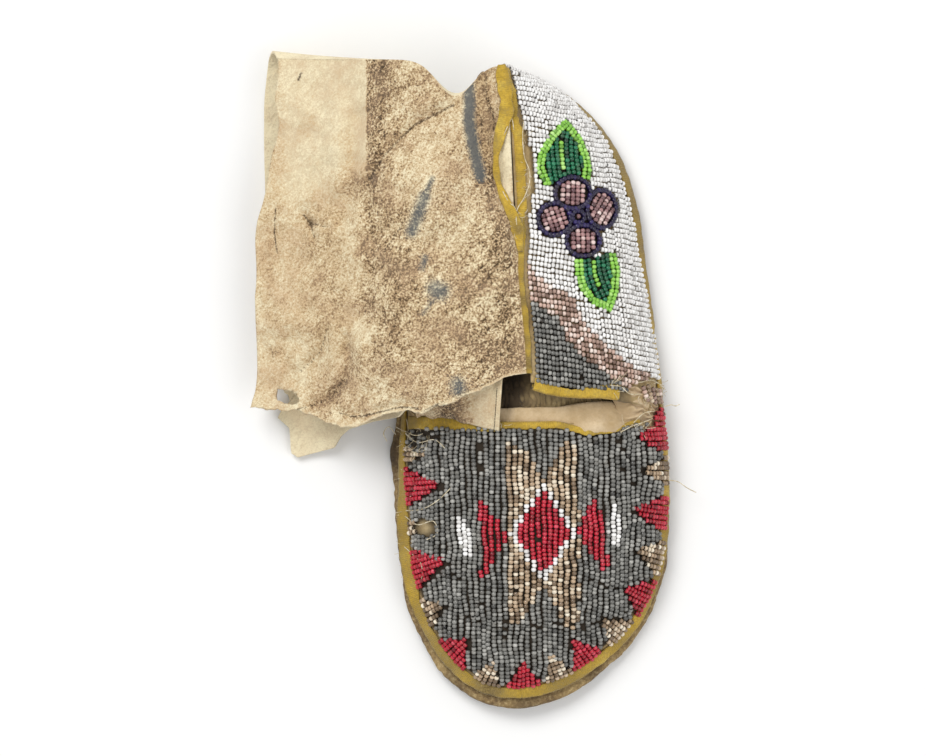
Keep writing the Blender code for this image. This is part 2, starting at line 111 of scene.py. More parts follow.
# The slope of a section above the level: where it leaves the seam, and where it reaches the ridge or topline.
# Both sides have the vamp's rows. Each row: share, rise, crest
VAMP_SLOPES = [(0.56, 84, 8), (0.65, 66, 1), (0.8, 52, 4.5), (0.9, 48, 9.5), (1, 46, 15)]
SLOPES = {
    LATERAL: [
        (0, 80, 58), (0.1, 68, 34), (0.22, 58, 22), (0.35, 66, 18), (0.5, 84, 17), *VAMP_SLOPES,
    ],
    MEDIAL: [
        (0, 80, 58), (0.1, 100, 62), (0.22, 110, 66), (0.35, 114, 64), (0.5, 104, 58), *VAMP_SLOPES,
    ],
}
RISE_HANDLE = 0.36
CREST_HANDLE = 0.42

# The sole's underside: where the toe spring, the arch and the curl of the edge rise, and how high
TOE_SPRING = 5.5
TOE_SPRING_FROM = -78.0
HEEL_LIFT = 1.0
HEEL_LIFT_FROM = 100.0
ARCH_RISE = 2.4
ARCH_FROM = -22.0
ARCH_TO = 46.0
ARCH_OUTER_X = -12.0
ARCH_INNER_X = -46.0
EDGE_CURL = 1.0
SPINE_SHARE = 0.68


def smooth_through(table, at):
    """Cubic pieces through a table's rows, whose first column is the place, read at the places `at`."""
    rows = np.asarray(table, dtype=float)
    knots = rows[:, 0]
    values = rows[:, 1:]
    slopes = np.gradient(values, knots, axis=0)
    at = np.clip(np.asarray(at, dtype=float), knots[0], knots[-1])
    low = np.clip(np.searchsorted(knots, at, side="right") - 1, 0, len(knots) - 2)
    width = (knots[low + 1] - knots[low])[..., None]
    u = (at - knots[low])[..., None] / width
    return (
        values[low] * (2 * u**3 - 3 * u**2 + 1)
        + slopes[low] * width * (u**3 - 2 * u**2 + u)
        + values[low + 1] * (3 * u**2 - 2 * u**3)
        + slopes[low + 1] * width * (u**3 - u**2)
    )


def unit(vectors):
    """Each vector over its own length."""
    return vectors / np.maximum(np.linalg.norm(vectors, axis=-1, keepdims=True), 1e-9)


def soft_step(low, high, at):
    """0 below `low`, 1 above `high`, and a smooth cubic rise between."""
    t = np.clip((at - low) / (high - low), 0, 1)
    return t * t * (3 - 2 * t)


def bell(far, width):
    """A smooth hump: 1 where `far` is 0, and one over e at `width`."""
    return np.exp(-((far / width) ** 2))


def lengths_along(points):
    """How far along a polyline each of its points is."""
    return np.concatenate([[0.0], np.cumsum(np.linalg.norm(np.diff(points, axis=0), axis=1))])


def read_columns(at, places, values):
    """Each column of `values`, whose rows stand at `places`, read in straight lines at the places `at`."""
    return np.column_stack([np.interp(at, places, column) for column in np.transpose(values)])


def eased(values, reach):
    """A moving mean over `reach` neighbours on each side, with the ends held."""
    wide = 2 * reach + 1
    return np.convolve(np.pad(values, reach, mode="edge"), np.ones(wide) / wide, mode="valid")


def closest(points, plan):
    """The index of the point nearest to each plan place, worked out in parts to spare memory."""
    parts = np.array_split(plan, max(1, len(plan) // 500))
    return np.concatenate([((part[:, None] - points) ** 2).sum(2).argmin(1) for part in parts])


def oval(x, y, centre, halves):
    """How far out from an oval's centre each plan point is: 1 on its rim."""
    return np.hypot((x - centre[0]) / halves[0], (y - centre[1]) / halves[1])


def half_outline(side):
    """One side of the sole's outline, from heel end to toe tip: shares, points and their inward directions.

    Shares are even lengths on each side of the throat's line, which both sides cross at THROAT_SHARE.
    """
    loop = np.array(OUTLINE + OUTLINE[:1])
    chords = lengths_along(loop)
    wrapped = np.concatenate([chords[-4:-1] - chords[-1], chords, chords[1:4] + chords[-1]])
    ring = np.concatenate([loop[-4:-1], loop, loop[1:4]])
    table = np.column_stack([wrapped, ring])
    heel = 0.0 if side == LATERAL else chords[-1]
    # One sample past each end gives both sides the same direction where they meet
    places = heel + (chords[TOE_ROW] - heel) * np.arange(-1, OUTLINE_SAMPLES + 2) / OUTLINE_SAMPLES
    dense = smooth_through(table, places)
    along = dense[2:] - dense[:-2]
    dense = dense[1:-1]
    steps = lengths_along(dense)
    inward = unit(np.column_stack([along[:, 1], -along[:, 0]]) * side)
    at_throat = np.interp(-THROAT_Y, -dense[:, 1], steps)
    return np.interp(steps, [0, at_throat, steps[-1]], [0, THROAT_SHARE, 1]), dense, inward


HALVES = {side: half_outline(side) for side in SIDES}


def edge_points(side, shares, inset):
    """Points of the sole's outline, moved inwards by `inset`."""
    place, dense, inward = HALVES[side]
    turn = unit(read_columns(shares, place, inward))
    return read_columns(shares, place, dense) + turn * np.reshape(inset, (-1, 1))


def seam_inset(side, shares):
    """How far the seam lies inside the outline, through the table."""
    return smooth_through(SEAM_INSET, shares)[:, 0 if side == LATERAL else 1]


def sole_rise(x, y):
    """How high the sole's underside lies: the toe spring, the arch and the lift of the heel end."""
    toe = TOE_SPRING * (np.clip(TOE_SPRING_FROM - y, 0, None) / 41.0) ** 2
    heel = HEEL_LIFT * (np.clip(y - HEEL_LIFT_FROM, 0, None) / 15.0) ** 2
    along = np.clip((y - ARCH_FROM) / (ARCH_TO - ARCH_FROM), 0, 1)
    across = np.clip((ARCH_OUTER_X - x) / (ARCH_OUTER_X - ARCH_INNER_X), 0, 1)
    return toe + heel + ARCH_RISE * np.sin(math.pi * along) ** 2 * across**2


def seam_line(side, shares, rise_angle):
    """Where the outer face of the upper meets the sole, lifted so that its wall clears the sole's top."""
    points = edge_points(side, shares, seam_inset(side, shares))
    top = sole_rise(*points.T) + EDGE_CURL + SOLE_THICK
    lean = np.maximum(HIDE_WALL * np.cos(rise_angle), -(GAP + TAPE_THICK) * np.cos(rise_angle))
    return np.column_stack([points, top + SEAT_GAP + lean])


def side_face(side, shares, crest_table, rows):
    """The outer face on one side: (station, row, xyz) and each section's length.

    A section is the cubic curve from the seam to the crest with its two slopes. `rows` are shares of its
    length, one list for all sections, or a function of the lengths that gives a list for each.
    """
    shares = np.asarray(shares, dtype=float)
    slopes = np.radians(smooth_through(SLOPES[side], shares))
    start = seam_line(side, shares, slopes[:, 0])
    end = smooth_through(crest_table, shares)
    flat = end - start
    flat[:, 2] = 0
    inward = unit(flat)
    reach = np.linalg.norm(end - start, axis=1)[:, None]
    up = np.array([0.0, 0.0, 1.0])

    def direction(angle):
        """The section's heading at a slope."""
        return inward * np.cos(angle)[:, None] + up * np.sin(angle)[:, None]

    first = start + direction(slopes[:, 0]) * reach * RISE_HANDLE
    second = end - direction(slopes[:, 1]) * reach * CREST_HANDLE

    def curve(t):
        """Every section's points at its own t."""
        t = t[..., None]
        return start * (1 - t) ** 3 + first * 3 * t * (1 - t) ** 2 + second * 3 * t**2 * (1 - t) + end * t**3

    count = len(shares)
    t = np.repeat(np.linspace(0, 1, 160)[:, None], count, axis=1)
    steps = np.linalg.norm(np.diff(curve(t), axis=0), axis=2)
    lengths = np.concatenate([np.zeros((1, count)), np.cumsum(steps, axis=0)])
    whole = lengths[-1]
    cuts = rows(whole) if callable(rows) else np.repeat(np.asarray(rows)[None], count, axis=0)
    # Each section has its own stretch, two long, of one common scale, so that one call inverts them all
    shift = 2.0 * np.arange(count)
    at = np.interp((cuts + shift[:, None]).ravel(), (lengths / whole + shift).T.ravel(), t.T.ravel())
    grid = curve(at.reshape(cuts.shape).T)
    return np.transpose(grid, (1, 0, 2)), whole


def grid_normals(grid, side):
    """The outward directions of a grid: its steps along stations and rows, crossed."""
    return unit(np.cross(np.gradient(grid, axis=0), np.gradient(grid, axis=1))) * side


def sample(grid, u, v):
    """Read a grid between its points; u runs 0 to 1 over its stations and v over its rows."""
    n, m = grid.shape[:2]
    a = np.asarray(u) * (n - 1)
    b = np.asarray(v) * (m - 1)
    i = np.clip(np.floor(a).astype(int), 0, n - 2)
    j = np.clip(np.floor(b).astype(int), 0, m - 2)
    a = (a - i)[..., None]
    b = (b - j)[..., None]
    low = grid[i, j] * (1 - b) + grid[i, j + 1] * b
    high = grid[i + 1, j] * (1 - b) + grid[i + 1, j + 1] * b
    return low * (1 - a) + high * a


FACE_STATIONS = 260
FACE_ROWS = 121


def dense_face(side, first, last, crest_table):
    """A side's face as a dense grid, its normals, and its sections' lengths, for setting beads on."""
    shares = np.linspace(first, last, FACE_STATIONS)
    grid, whole = side_face(side, shares, crest_table, np.linspace(0, 1, FACE_ROWS))
    return {
        "grid": grid,
        "normals": grid_normals(grid, -side if last > first else side),
        "whole": np.repeat(whole[:, None, None], 2, axis=1),
    }


VAMP = {side: dense_face(side, THROAT_SHARE, 1.0, VAMP_RIDGE) for side in SIDES}
QUARTER = {side: dense_face(side, QUARTER_SHARE, 0.0, TOPLINE[side]) for side in SIDES}


def whole_at(face, u):
    """The length of the section at u."""
    return sample(face["whole"], u, np.zeros_like(u))[..., 0]


def locate(face, plan):
    """Where each plan point lies on a face, as (u, v): the nearest grid point, then Newton steps in plan."""
    grid = face["grid"]
    coarse = grid[::5, ::4, :2]
    nearest = closest(coarse.reshape(-1, 2), plan)
    u = (nearest // coarse.shape[1]) * 5 / (FACE_STATIONS - 1)
    v = (nearest % coarse.shape[1]) * 4 / (FACE_ROWS - 1)
    e = 0.004
    for _ in range(5):
        miss = plan - sample(grid, u, v)[:, :2]
        du = (sample(grid, u + e, v) - sample(grid, u - e, v))[:, :2] / (2 * e)
        dv = (sample(grid, u, v + e) - sample(grid, u, v - e))[:, :2] / (2 * e)
        det = du[:, 0] * dv[:, 1] - du[:, 1] * dv[:, 0]
        det = np.where(np.abs(det) < 1e-3, 1e-3, det)
        u = np.clip(u + (miss[:, 0] * dv[:, 1] - miss[:, 1] * dv[:, 0]) / det, -0.05, 1.05)
        v = np.clip(v + (du[:, 0] * miss[:, 1] - du[:, 1] * miss[:, 0]) / det, -0.05, 1.05)
    return u, v


# ----------------------------
# Meshes


def build_mesh(name, points, corners, sizes):
    """A mesh from points in millimetres, its faces' corners in one row, and each face's corner count."""
    mesh = bpy.data.meshes.new(name)
    mesh.vertices.add(len(points))
    mesh.vertices.foreach_set("co", (np.asarray(points) * MM).astype(np.float32).ravel())
    mesh.loops.add(len(corners))
    mesh.loops.foreach_set("vertex_index", np.asarray(corners, dtype=np.int32))
    mesh.polygons.add(len(sizes))
    mesh.polygons.foreach_set("loop_start", np.concatenate([[0], np.cumsum(sizes)[:-1]]).astype(np.int32))
    mesh.update(calc_edges=True)
    mesh.validate()
    mesh.shade_smooth()
    thing = bpy.data.objects.new(name, mesh)
    bpy.context.scene.collection.objects.link(thing)
    return thing


def grid_quads(stations, rows, flip=False, closed=False):
    """The corners of a grid's quads; `closed` joins its last row to its first."""
    i = np.arange(stations - 1)[:, None]
    j = np.arange(rows if closed else rows - 1)[None, :]
    k = (j + 1) % rows
    quads = np.stack([i * rows + j, (i + 1) * rows + j, (i + 1) * rows + k, i * rows + k], axis=-1)
    quads = quads.reshape(-1, 4)
    return quads[:, ::-1] if flip else quads


def store(thing, name, values):
    """Keep one number for each vertex, as an attribute that a material reads."""
    attribute = thing.data.attributes.new(name, "FLOAT", "POINT")
    attribute.data.foreach_set("value", np.asarray(values, dtype=np.float32).ravel())


def store_uv(thing, uv):
    """Lay out a piece's UV map in metres, from one pair in millimetres for each vertex."""
    layer = thing.data.uv_layers.new(name="UVMap")
    loops = np.empty(len(thing.data.loops), dtype=np.int32)
    thing.data.loops.foreach_get("vertex_index", loops)
    layer.data.foreach_set("uv", (np.asarray(uv)[loops] * MM).astype(np.float32).ravel())


def grid_piece(name, grids, attributes=(), uvs=None):
    """One mesh from several grids, each (side, points); a medial one's faces are turned, to face out too."""
    points = []
    quads = []
    offset = 0
    for side, grid in grids:
        stations, rows = grid.shape[:2]
        points.append(grid.reshape(-1, 3))
        quads.append(grid_quads(stations, rows, flip=side == MEDIAL) + offset)
        offset += stations * rows
    quads = np.concatenate(quads)
    thing = build_mesh(name, np.concatenate(points), quads.ravel(), np.full(len(quads), 4))
    for key, values in dict(attributes).items():
        store(thing, key, np.concatenate([np.ravel(part) for part in values]))
    if uvs is not None:
        store_uv(thing, np.concatenate([uv.reshape(-1, 2) for uv in uvs]))
    return thing


def weld(thing, distance=0.02):
    """Join the vertices of neighbouring grids."""
    shape = bmesh.new()
    shape.from_mesh(thing.data)
    bmesh.ops.remove_doubles(shape, verts=shape.verts, dist=distance * MM)
    shape.to_mesh(thing.data)
    shape.free()
    return thing


def add_wall(thing, thick, outwards=False):
    """Give an open face its thickness, inwards or outwards."""
    wall = thing.modifiers.new("Wall", "SOLIDIFY")
    wall.thickness = thick * MM
    wall.offset = 1.0 if outwards else -1.0
    return thing


def dress(thing, material, slot_name, *replaced):
    """Finish a piece: its material, its body and the nodes it stands for. slot_name is not used."""
    thing.data.materials.append(material)
    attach(thing, "root")
    if replaced:
        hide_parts(*replaced)
    return thing


def ripple(x, y, seed, size, count=14):
    """A soft random swell of about unit height: sines of random headings with wavelengths near `size`."""
    draw = np.random.default_rng(seed)
    heading = draw.uniform(0, 2 * math.pi, count)
    rate = 2 * math.pi / (size * draw.uniform(0.7, 1.5, count))
    phase = draw.uniform(0, 2 * math.pi, count)
    total = np.zeros(np.shape(x))
    for angle, speed, start in zip(heading, rate, phase):
        total = total + np.sin(speed * (x * math.cos(angle) + y * math.sin(angle)) + start)
    return total / math.sqrt(count / 2)


def path_distance(x, y, path):
    """How far each plan point is from a polyline of (x, y) points."""
    best = np.full(np.shape(x), 1e9)
    for (ax, ay), (bx, by) in zip(path, path[1:]):
        dx, dy = bx - ax, by - ay
        t = np.clip(((x - ax) * dx + (y - ay) * dy) / (dx * dx + dy * dy), 0, 1)
        best = np.minimum(best, np.hypot(x - ax - t * dx, y - ay - t * dy))
    return best


def inside(x, y, polygon):
    """Whether each plan point is inside a polygon: it crosses the polygon's edges an odd number of times."""
    odd = np.zeros(np.shape(x), dtype=bool)
    for (ax, ay), (bx, by) in zip(polygon, polygon[1:] + polygon[:1]):
        if ay != by:
            odd ^= ((ay > y) != (by > y)) & (x < (bx - ax) * (y - ay) / (by - ay) + ax)
    return odd


# ----------------------------
# Materials


def linear(colour):
    """An sRGB hex value as linear red, green, blue, and an alpha of 1."""
    parts = [int(colour[k : k + 2], 16) / 255 for k in (1, 3, 5)]
    return [c / 12.92 if c <= 0.04045 else ((c + 0.055) / 1.055) ** 2.4 for c in parts] + [1.0]


def add(tree, kind, inputs=(), stops=(), out=0, **settings):
    """Add a node and hand back one of its outputs.

    `inputs` are its sockets' values, or the sockets they take; `stops` are a ramp's; the rest are settings.
    """
    made = tree.nodes.new("ShaderNode" + kind)
    for name, value in settings.items():
        setattr(made, name, value)
    if stops:
        while len(made.color_ramp.elements) < len(stops):
            made.color_ramp.elements.new(0.5)
        for element, (place, colour) in zip(made.color_ramp.elements, stops):
            element.position = place
            element.color = linear(colour)
    for key, value in dict(inputs).items():
        if isinstance(value, bpy.types.NodeSocket):
            tree.links.new(value, made.inputs[key])
        else:
            made.inputs[key].default_value = value
    return made.outputs[out]


def new_material(name, **constant):
    """A material, its node tree and its shader, whose constant sockets are set directly."""
    material = bpy.data.materials.new(name)
    material.use_nodes = True
    shader = material.node_tree.nodes["Principled BSDF"]
    for key, value in constant.items():
        shader.inputs[key.replace("_", " ")].default_value = value
    return material, material.node_tree, shader


def finish_surface(tree, shader, colour, bumps=(), roughness=None):
    """Link a surface's colour, its roughness and its bumps, each (height, depth in mm), one on another."""
    tree.links.new(colour, shader.inputs["Base Color"])
    if roughness is not None:
        tree.links.new(roughness, shader.inputs["Roughness"])
    normal = None
    for height, depth in bumps:
        links = {"Height": height, "Distance": depth * MM}
        if normal is not None:
            links["Normal"] = normal
        normal = add(tree, "Bump", links)
    if normal is not None:
        tree.links.new(normal, shader.inputs["Normal"])


def sized(place, size, **more):
    """Sockets of a pattern on metre coordinates whose grain is `size` millimetres."""
    return {"Vector": place, "Scale": 1000.0 / size, **more}


def glass_bead(name, deep, body, light, roughness=0.28):
    """Drawn glass tube, chopped and tumbled: small rounded barrels, each of its own shade, with a bright
    point where the light strikes, a film of dirt, and painted shade darkening each end round its hole."""
    material, tree, shader = new_material(name, IOR=1.52, Roughness=roughness)
    tone = add(tree, "Attribute", out="Fac", attribute_name="tone")
    belly = add(tree, "Attribute", out="Fac", attribute_name="belly")
    shade = add(tree, "ValToRGB", {"Fac": tone}, stops=[(0.0, deep), (0.5, body), (1.0, light)])
    place = add(tree, "TexCoord", out="Object")
    film = add(tree, "TexNoise", sized(place, 2.6, Detail=3.0))
    film = add(tree, "MapRange", {0: film, 1: 0.5, 2: 0.72, 3: 0.0, 4: 0.3})
    dirty = add(tree, "Mix", {0: film, 6: shade, 7: linear("#5d5344")}, out=2, data_type="RGBA")
    # Painted shade: each bead is darkened towards its ends, where it meets its neighbours on the string
    rim = add(tree, "MapRange", {0: belly, 1: 0.0, 2: 0.8, 3: 0.62, 4: 0.0})
    colour = add(tree, "Mix", {0: rim, 6: dirty, 7: linear(deep)}, out=2, data_type="RGBA")
    finish_surface(tree, shader, colour)
    return material


def soiled_rawhide():
    """Rawhide, dried hard and cut with a knife: horny tan, its edge darkened and gritty from the ground."""
    material, tree, shader = new_material("rawhide_knife_cut", IOR=1.5)
    place = add(tree, "TexCoord", out="Object")
    broad = add(tree, "TexNoise", sized(place, 16, Detail=4.0, Roughness=0.65))
    fine = add(tree, "TexNoise", sized(place, 1.3, Detail=5.0, Roughness=0.7))
    tan = [(0.25, "#4b3a24"), (0.45, "#7c633c"), (0.6, "#a58a57"), (0.8, "#c6ad78")]
    tan = add(tree, "ValToRGB", {"Fac": broad}, stops=tan)
    grit = [(0.34, "#2c2117"), (0.5, "#8a7048"), (0.66, "#d9c596")]
    grit = add(tree, "ValToRGB", {"Fac": fine}, stops=grit)
    colour = add(tree, "Mix", {0: 0.45, 6: tan, 7: grit}, out=2, data_type="RGBA")
    dark = add(tree, "Attribute", out="Fac", attribute_name="soil")
    colour = add(tree, "Mix", {0: dark, 6: colour, 7: linear("#35281a")}, out=2, data_type="RGBA")
    rough = add(tree, "MapRange", {0: fine, 3: 0.55, 4: 0.9})
    finish_surface(tree, shader, colour, [(broad, 0.9), (fine, 0.5)], rough)
    return material


def worn_hide(name, pale, mid, dark, soiled_and_shaded):
    """Brain-tanned hide, scraped and smoked: matt and napped, blotched where hands and feet have worn it."""
    material, tree, shader = new_material(name, IOR=1.45, Roughness=0.92, Sheen_Weight=0.15)
    place = add(tree, "TexCoord", out="Object")
    broad = add(tree, "TexNoise", sized(place, 11, Detail=4.0, Roughness=0.6))
    # The nap is coarser than real hide fibres, so that it shows
    nap = add(tree, "TexNoise", sized(place, 0.8, Detail=4.0, Roughness=0.75))
    shade = add(tree, "ValToRGB", {"Fac": broad}, stops=[(0.3, dark), (0.5, mid), (0.7, pale)])
    fleck = add(tree, "MapRange", {0: nap, 1: 0.45, 2: 0.7, 3: 0.0, 4: 0.4})
    shade = add(tree, "Mix", {0: fleck, 6: shade, 7: linear(dark)}, out=2, data_type="RGBA")
    # The attribute read here darkens the hide towards its dark colour: old dirt and thread, and painted shade
    # where a piece sets it, between beads, in folds and under the cuff
    soil = add(tree, "Attribute", out="Fac", attribute_name="soil")
    colour = add(tree, "Mix", {0: soil, 6: shade, 7: linear(soiled_and_shaded)}, out=2, data_type="RGBA")
    finish_surface(tree, shader, colour, [(broad, 0.5), (nap, 0.25)])
    return material


# The tape's rib is drawn coarser than the real half millimetre, so that it shows
TAPE_RIB = 0.7


def woven_tape():
    """Cotton tape, woven and dyed yellow: a matt cloth with a fine cross rib, rubbed to olive and brown where
    it has been handled."""
    material, tree, shader = new_material("cotton_tape_woven", IOR=1.45, Roughness=0.88, Sheen_Weight=0.2)
    place = add(tree, "TexCoord", out="Object")
    uv = add(tree, "UVMap", uv_map="UVMap")
    # A wave's bands repeat 20 / 2 pi times in a length of 1
    weave = {"Vector": uv, "Scale": 2 * math.pi / 20 * 1000 / TAPE_RIB, "Distortion": 1.2, "Detail": 1.0}
    rib = add(tree, "TexWave", weave, out="Fac", bands_direction="X")
    broad = add(tree, "TexNoise", sized(place, 9, Detail=4.0, Roughness=0.7))
    fuzz = add(tree, "TexNoise", sized(place, 0.9, Detail=4.0, Roughness=0.7))
    stops = [(0.3, "#a98b2c"), (0.5, "#c8a539"), (0.72, "#dfc154")]
    dye = add(tree, "ValToRGB", {"Fac": broad}, stops=stops)
    shadow = add(tree, "MapRange", {0: fuzz, 1: 0.45, 2: 0.7, 3: 0.0, 4: 0.4})
    dye = add(tree, "Mix", {0: shadow, 6: dye, 7: linear("#8a6a20")}, out=2, data_type="RGBA")
    grime = add(tree, "Attribute", out="Fac", attribute_name="grime")
    patch = add(tree, "Math", {0: broad, 1: fuzz}, operation="ADD")
    patch = add(tree, "MapRange", {0: patch, 1: 0.8, 2: 1.2, 3: -0.3, 4: 0.3})
    worn = add(tree, "Math", {0: grime, 1: patch}, operation="ADD", use_clamp=True)
    dirt = add(tree, "ValToRGB", {"Fac": fuzz}, stops=[(0.35, "#6b5526"), (0.7, "#a48c4e")])
    colour = add(tree, "Mix", {0: worn, 6: dye, 7: dirt}, out=2, data_type="RGBA")
    finish_surface(tree, shader, colour, [(rib, 0.12), (fuzz, 0.25)])
    return material


def cuff_suede():
    """Smoked deerskin, flesh side out: smooth and cream where it is clean, and rubbed into a nap of sand and
    brown flecks where it is worn, with grey-blue paint, and painted shade along its creases and hem.

    How dark a place is: three grains of noise, 0.8, 2.6 and 13 mm, the middle one drawn out along the rub's
    slant, times a gain and plus a bias that both grow with wear and stain.
    """
    material, tree, shader = new_material("deerskin_smoked", IOR=1.45, Roughness=0.93, Sheen_Weight=0.12)
    place = add(tree, "TexCoord", out="Object")
    slant = {"Vector": place, "Rotation": (0, 0, math.radians(-42)), "Scale": (1.0, 2.6, 1.0)}
    slant = add(tree, "Mapping", slant, vector_type="TEXTURE")
    kept = {}
    for name in ("worn", "stain", "paint", "crease"):
        kept[name] = add(tree, "Attribute", out="Fac", attribute_name=name)
    broad = add(tree, "TexNoise", sized(place, 13, Detail=3.0, Roughness=0.6))
    middle = add(tree, "TexNoise", sized(slant, 2.6, Detail=4.0, Roughness=0.75))
    # The nap is coarser than real hide fibres, so that it shows
    nap = add(tree, "TexNoise", sized(place, 0.8, Detail=3.0, Roughness=0.8))
    grain = add(tree, "Math", {0: nap, 1: 0.56, 2: -0.5}, operation="MULTIPLY_ADD")
    grain = add(tree, "Math", {0: middle, 1: 0.3, 2: grain}, operation="MULTIPLY_ADD")
    grain = add(tree, "Math", {0: broad, 1: 0.14, 2: grain}, operation="MULTIPLY_ADD")
    gain = add(tree, "Math", {0: kept["worn"], 1: 6.2, 2: 0.9}, operation="MULTIPLY_ADD")
    gain = add(tree, "Math", {0: kept["stain"], 1: 1.4, 2: gain}, operation="MULTIPLY_ADD")
    bias = add(tree, "Math", {0: kept["worn"], 1: 0.42, 2: 0.1}, operation="MULTIPLY_ADD")
    bias = add(tree, "Math", {0: kept["stain"], 1: 0.34, 2: bias}, operation="MULTIPLY_ADD")
    dark = add(tree, "Math", {0: grain, 1: gain, 2: bias}, operation="MULTIPLY_ADD")
    stops = [(0.0, "#efe2bf"), (0.14, "#dccca9"), (0.38, "#ccb188")]
    stops += [(0.62, "#9c805c"), (0.82, "#6c543a"), (1.0, "#3f301e")]
    shade = add(tree, "ValToRGB", {"Fac": dark}, stops=stops)
    blush = add(tree, "MapRange", {0: broad, 1: 0.46, 2: 0.66, 3: 0.0, 4: 0.3})
    colour = add(tree, "Mix", {0: blush, 6: shade, 7: linear("#c9aa88")}, out=2, data_type="RGBA")
    # Grey-blue paint, whose tint also gives the painted shade under the hole
    for name, tint, low, high, depth in (
        ("paint", "#575c5d", 0.38, 0.95, 0.9),
        # Painted shade in the creases and along the hem
        ("crease", "#3b2d1e", 0.55, 1.0, 0.85),
    ):
        edge = add(tree, "Math", {0: grain, 1: 2.6, 2: kept[name]}, operation="MULTIPLY_ADD")
        share = add(tree, "MapRange", {0: edge, 1: low, 2: high, 3: 0.0, 4: depth})
        colour = add(tree, "Mix", {0: share, 6: colour, 7: linear(tint)}, out=2, data_type="RGBA")
    finish_surface(tree, shader, colour, [(middle, 0.7), (nap, 0.35)])
    return material


def spun_thread():
    """Spun cotton thread, undyed: matt cream, greyed by handling, its twist drawn coarser so that it shows."""
    material, tree, shader = new_material("cotton_thread_spun", IOR=1.45, Roughness=0.9)
    place = add(tree, "TexCoord", out="Object")
    twist = add(tree, "TexNoise", sized(place, 1.2, Detail=2.0))
    colour = add(tree, "ValToRGB", {"Fac": twist}, stops=[(0.35, "#b9a883"), (0.65, "#e9dfc6")])
    finish_surface(tree, shader, colour)
    return material


RAWHIDE = soiled_rawhide()
HIDE = worn_hide("hide_smoked", "#d8c193", "#bfa574", "#927850", "#33291d")
HIDE_INSIDE = worn_hide("hide_inside", "#cdb98d", "#ab9468", "#7d6848", "#4a3c2a")
FACING = worn_hide("hide_facing_smooth", "#dcc6a4", "#ccb48f", "#b1976f", "#84694a")
TAPE = woven_tape()
DEERSKIN = cuff_suede()
THREAD = spun_thread()


# ----------------------------
# The sole

# Half the sole's section, from the spine of its underside out to the edge and back over its top: how far in
# from the outline, how far that point goes on to the spine, and its height over the underside
SOLE_SECTION = [
    (11, 1, 0), (11, 0.5, 0), (11, 0, 0), (4, 0, 0.8), (1.2, 0, 1.1), (0.3, 0, 1.7), (0, 0, 2.5),
    (0.3, 0, 3.4), (1, 0, 4), (4, 0, 4.2), (11, 0, 3.6), (11, 0.2, 3.4), (11, 0.4, 3.2), (11, 0.6, 3.2),
    (11, 0.8, 3.2), (11, 1, 3.2),
]


def build_sole():
    """A rawhide slab: its section is carried round the outline, and its cut edge wanders and is nicked."""
    shares = np.linspace(0, 1, 461)
    grids = []
    soil = []
    spine = (edge_points(LATERAL, shares, 0) + edge_points(MEDIAL, shares, 0)) / 2 * (1.0, SPINE_SHARE)
    for side in SIDES:
        rim = edge_points(side, shares, 0)
        ends = np.sin(math.pi * shares) ** 0.3
        wander = ends * (0.3 * ripple(*rim.T, 3, 17) + 0.1 * ripple(*rim.T, 4, 3.2))
        wander = wander - 0.35 * ends * soft_step(1.2, 1.7, ripple(*rim.T, 5, 5))
        if side == MEDIAL:
            wander = wander + 1.5 * bell(rim[:, 1] + 23, 6)
        else:
            wander = 0.6 * wander - 1.25 * soft_step(0.0, 0.06, shares) * soft_step(0.86, 0.6, shares)
        rings = []
        for inset, share, height in SOLE_SECTION:
            near_edge = max(0.0, 1 - inset / 5)
            points = edge_points(side, shares, inset - wander * near_edge)
            points = points * (1 - share) + spine * share
            lift = height + 0.12 * near_edge * ripple(*points.T, 6 + int(height * 10), 5)
            rings.append(np.column_stack([points, sole_rise(*points.T) + lift]))
        grid = np.stack(rings, axis=1)
        grids.append((-side, grid))
        x, y = grid[..., 0], grid[..., 1]
        under = 0.35 * (np.arange(len(SOLE_SECTION)) < 6)
        dark = 0.75 * bell(y + 23, 8) * (x < -50)
        mouldy = 0.35 * soft_step(0.2, 1.2, ripple(x, y, 9, 16))
        soil.append(np.clip(under + dark + mouldy, 0, 1))
    thing = weld(grid_piece("rawhide_sole", grids, {"soil": soil}))
    return dress(thing, RAWHIDE, "rawhide", "sole")


# ----------------------------
# The hide upper

# Where beads have come away from the lateral quarter and the bare hide shows, beside the topline's slit
BARE_STRIP = [
    (-14, 99), (-6.6, 99), (-5.4, 96.5), (-4, 92.5), (-2.6, 86), (-1.8, 74), (-3, 64), (-4, 57.5),
    (-6.5, 53.5), (-14, 56),
]
# The puckered end of the slit on the lateral side, and the knot of hide on the vamp's medial edge
PUCKER = (41.5, -2.4)
PUCKER_SIZE = (8.8, 5.7)
KNOT = (-41.3, -51.5)
# Rows up a section of the hide, below the slit's end and above it
HIDE_LOW = 14
HIDE_HIGH = 44


def hide_cuts(whole):
    """Rows up a section: HIDE_LOW steps from the seam to the slit's end, and HIDE_HIGH on to the crest."""
    end = TAPE_WIDTH + (SLIT_ROW - 1) / (PANEL_ROWS - 1) * (whole - TAPE_WIDTH - TOPLINE_TAPE_WIDTH)
    end = (end / whole)[:, None]
    lower = np.linspace(0, 1, HIDE_LOW + 1)[None] * end
    upper = end + (1 - end) * np.linspace(0, 1, HIDE_HIGH + 1)[None, 1:]
    return np.concatenate([lower, upper], axis=1)


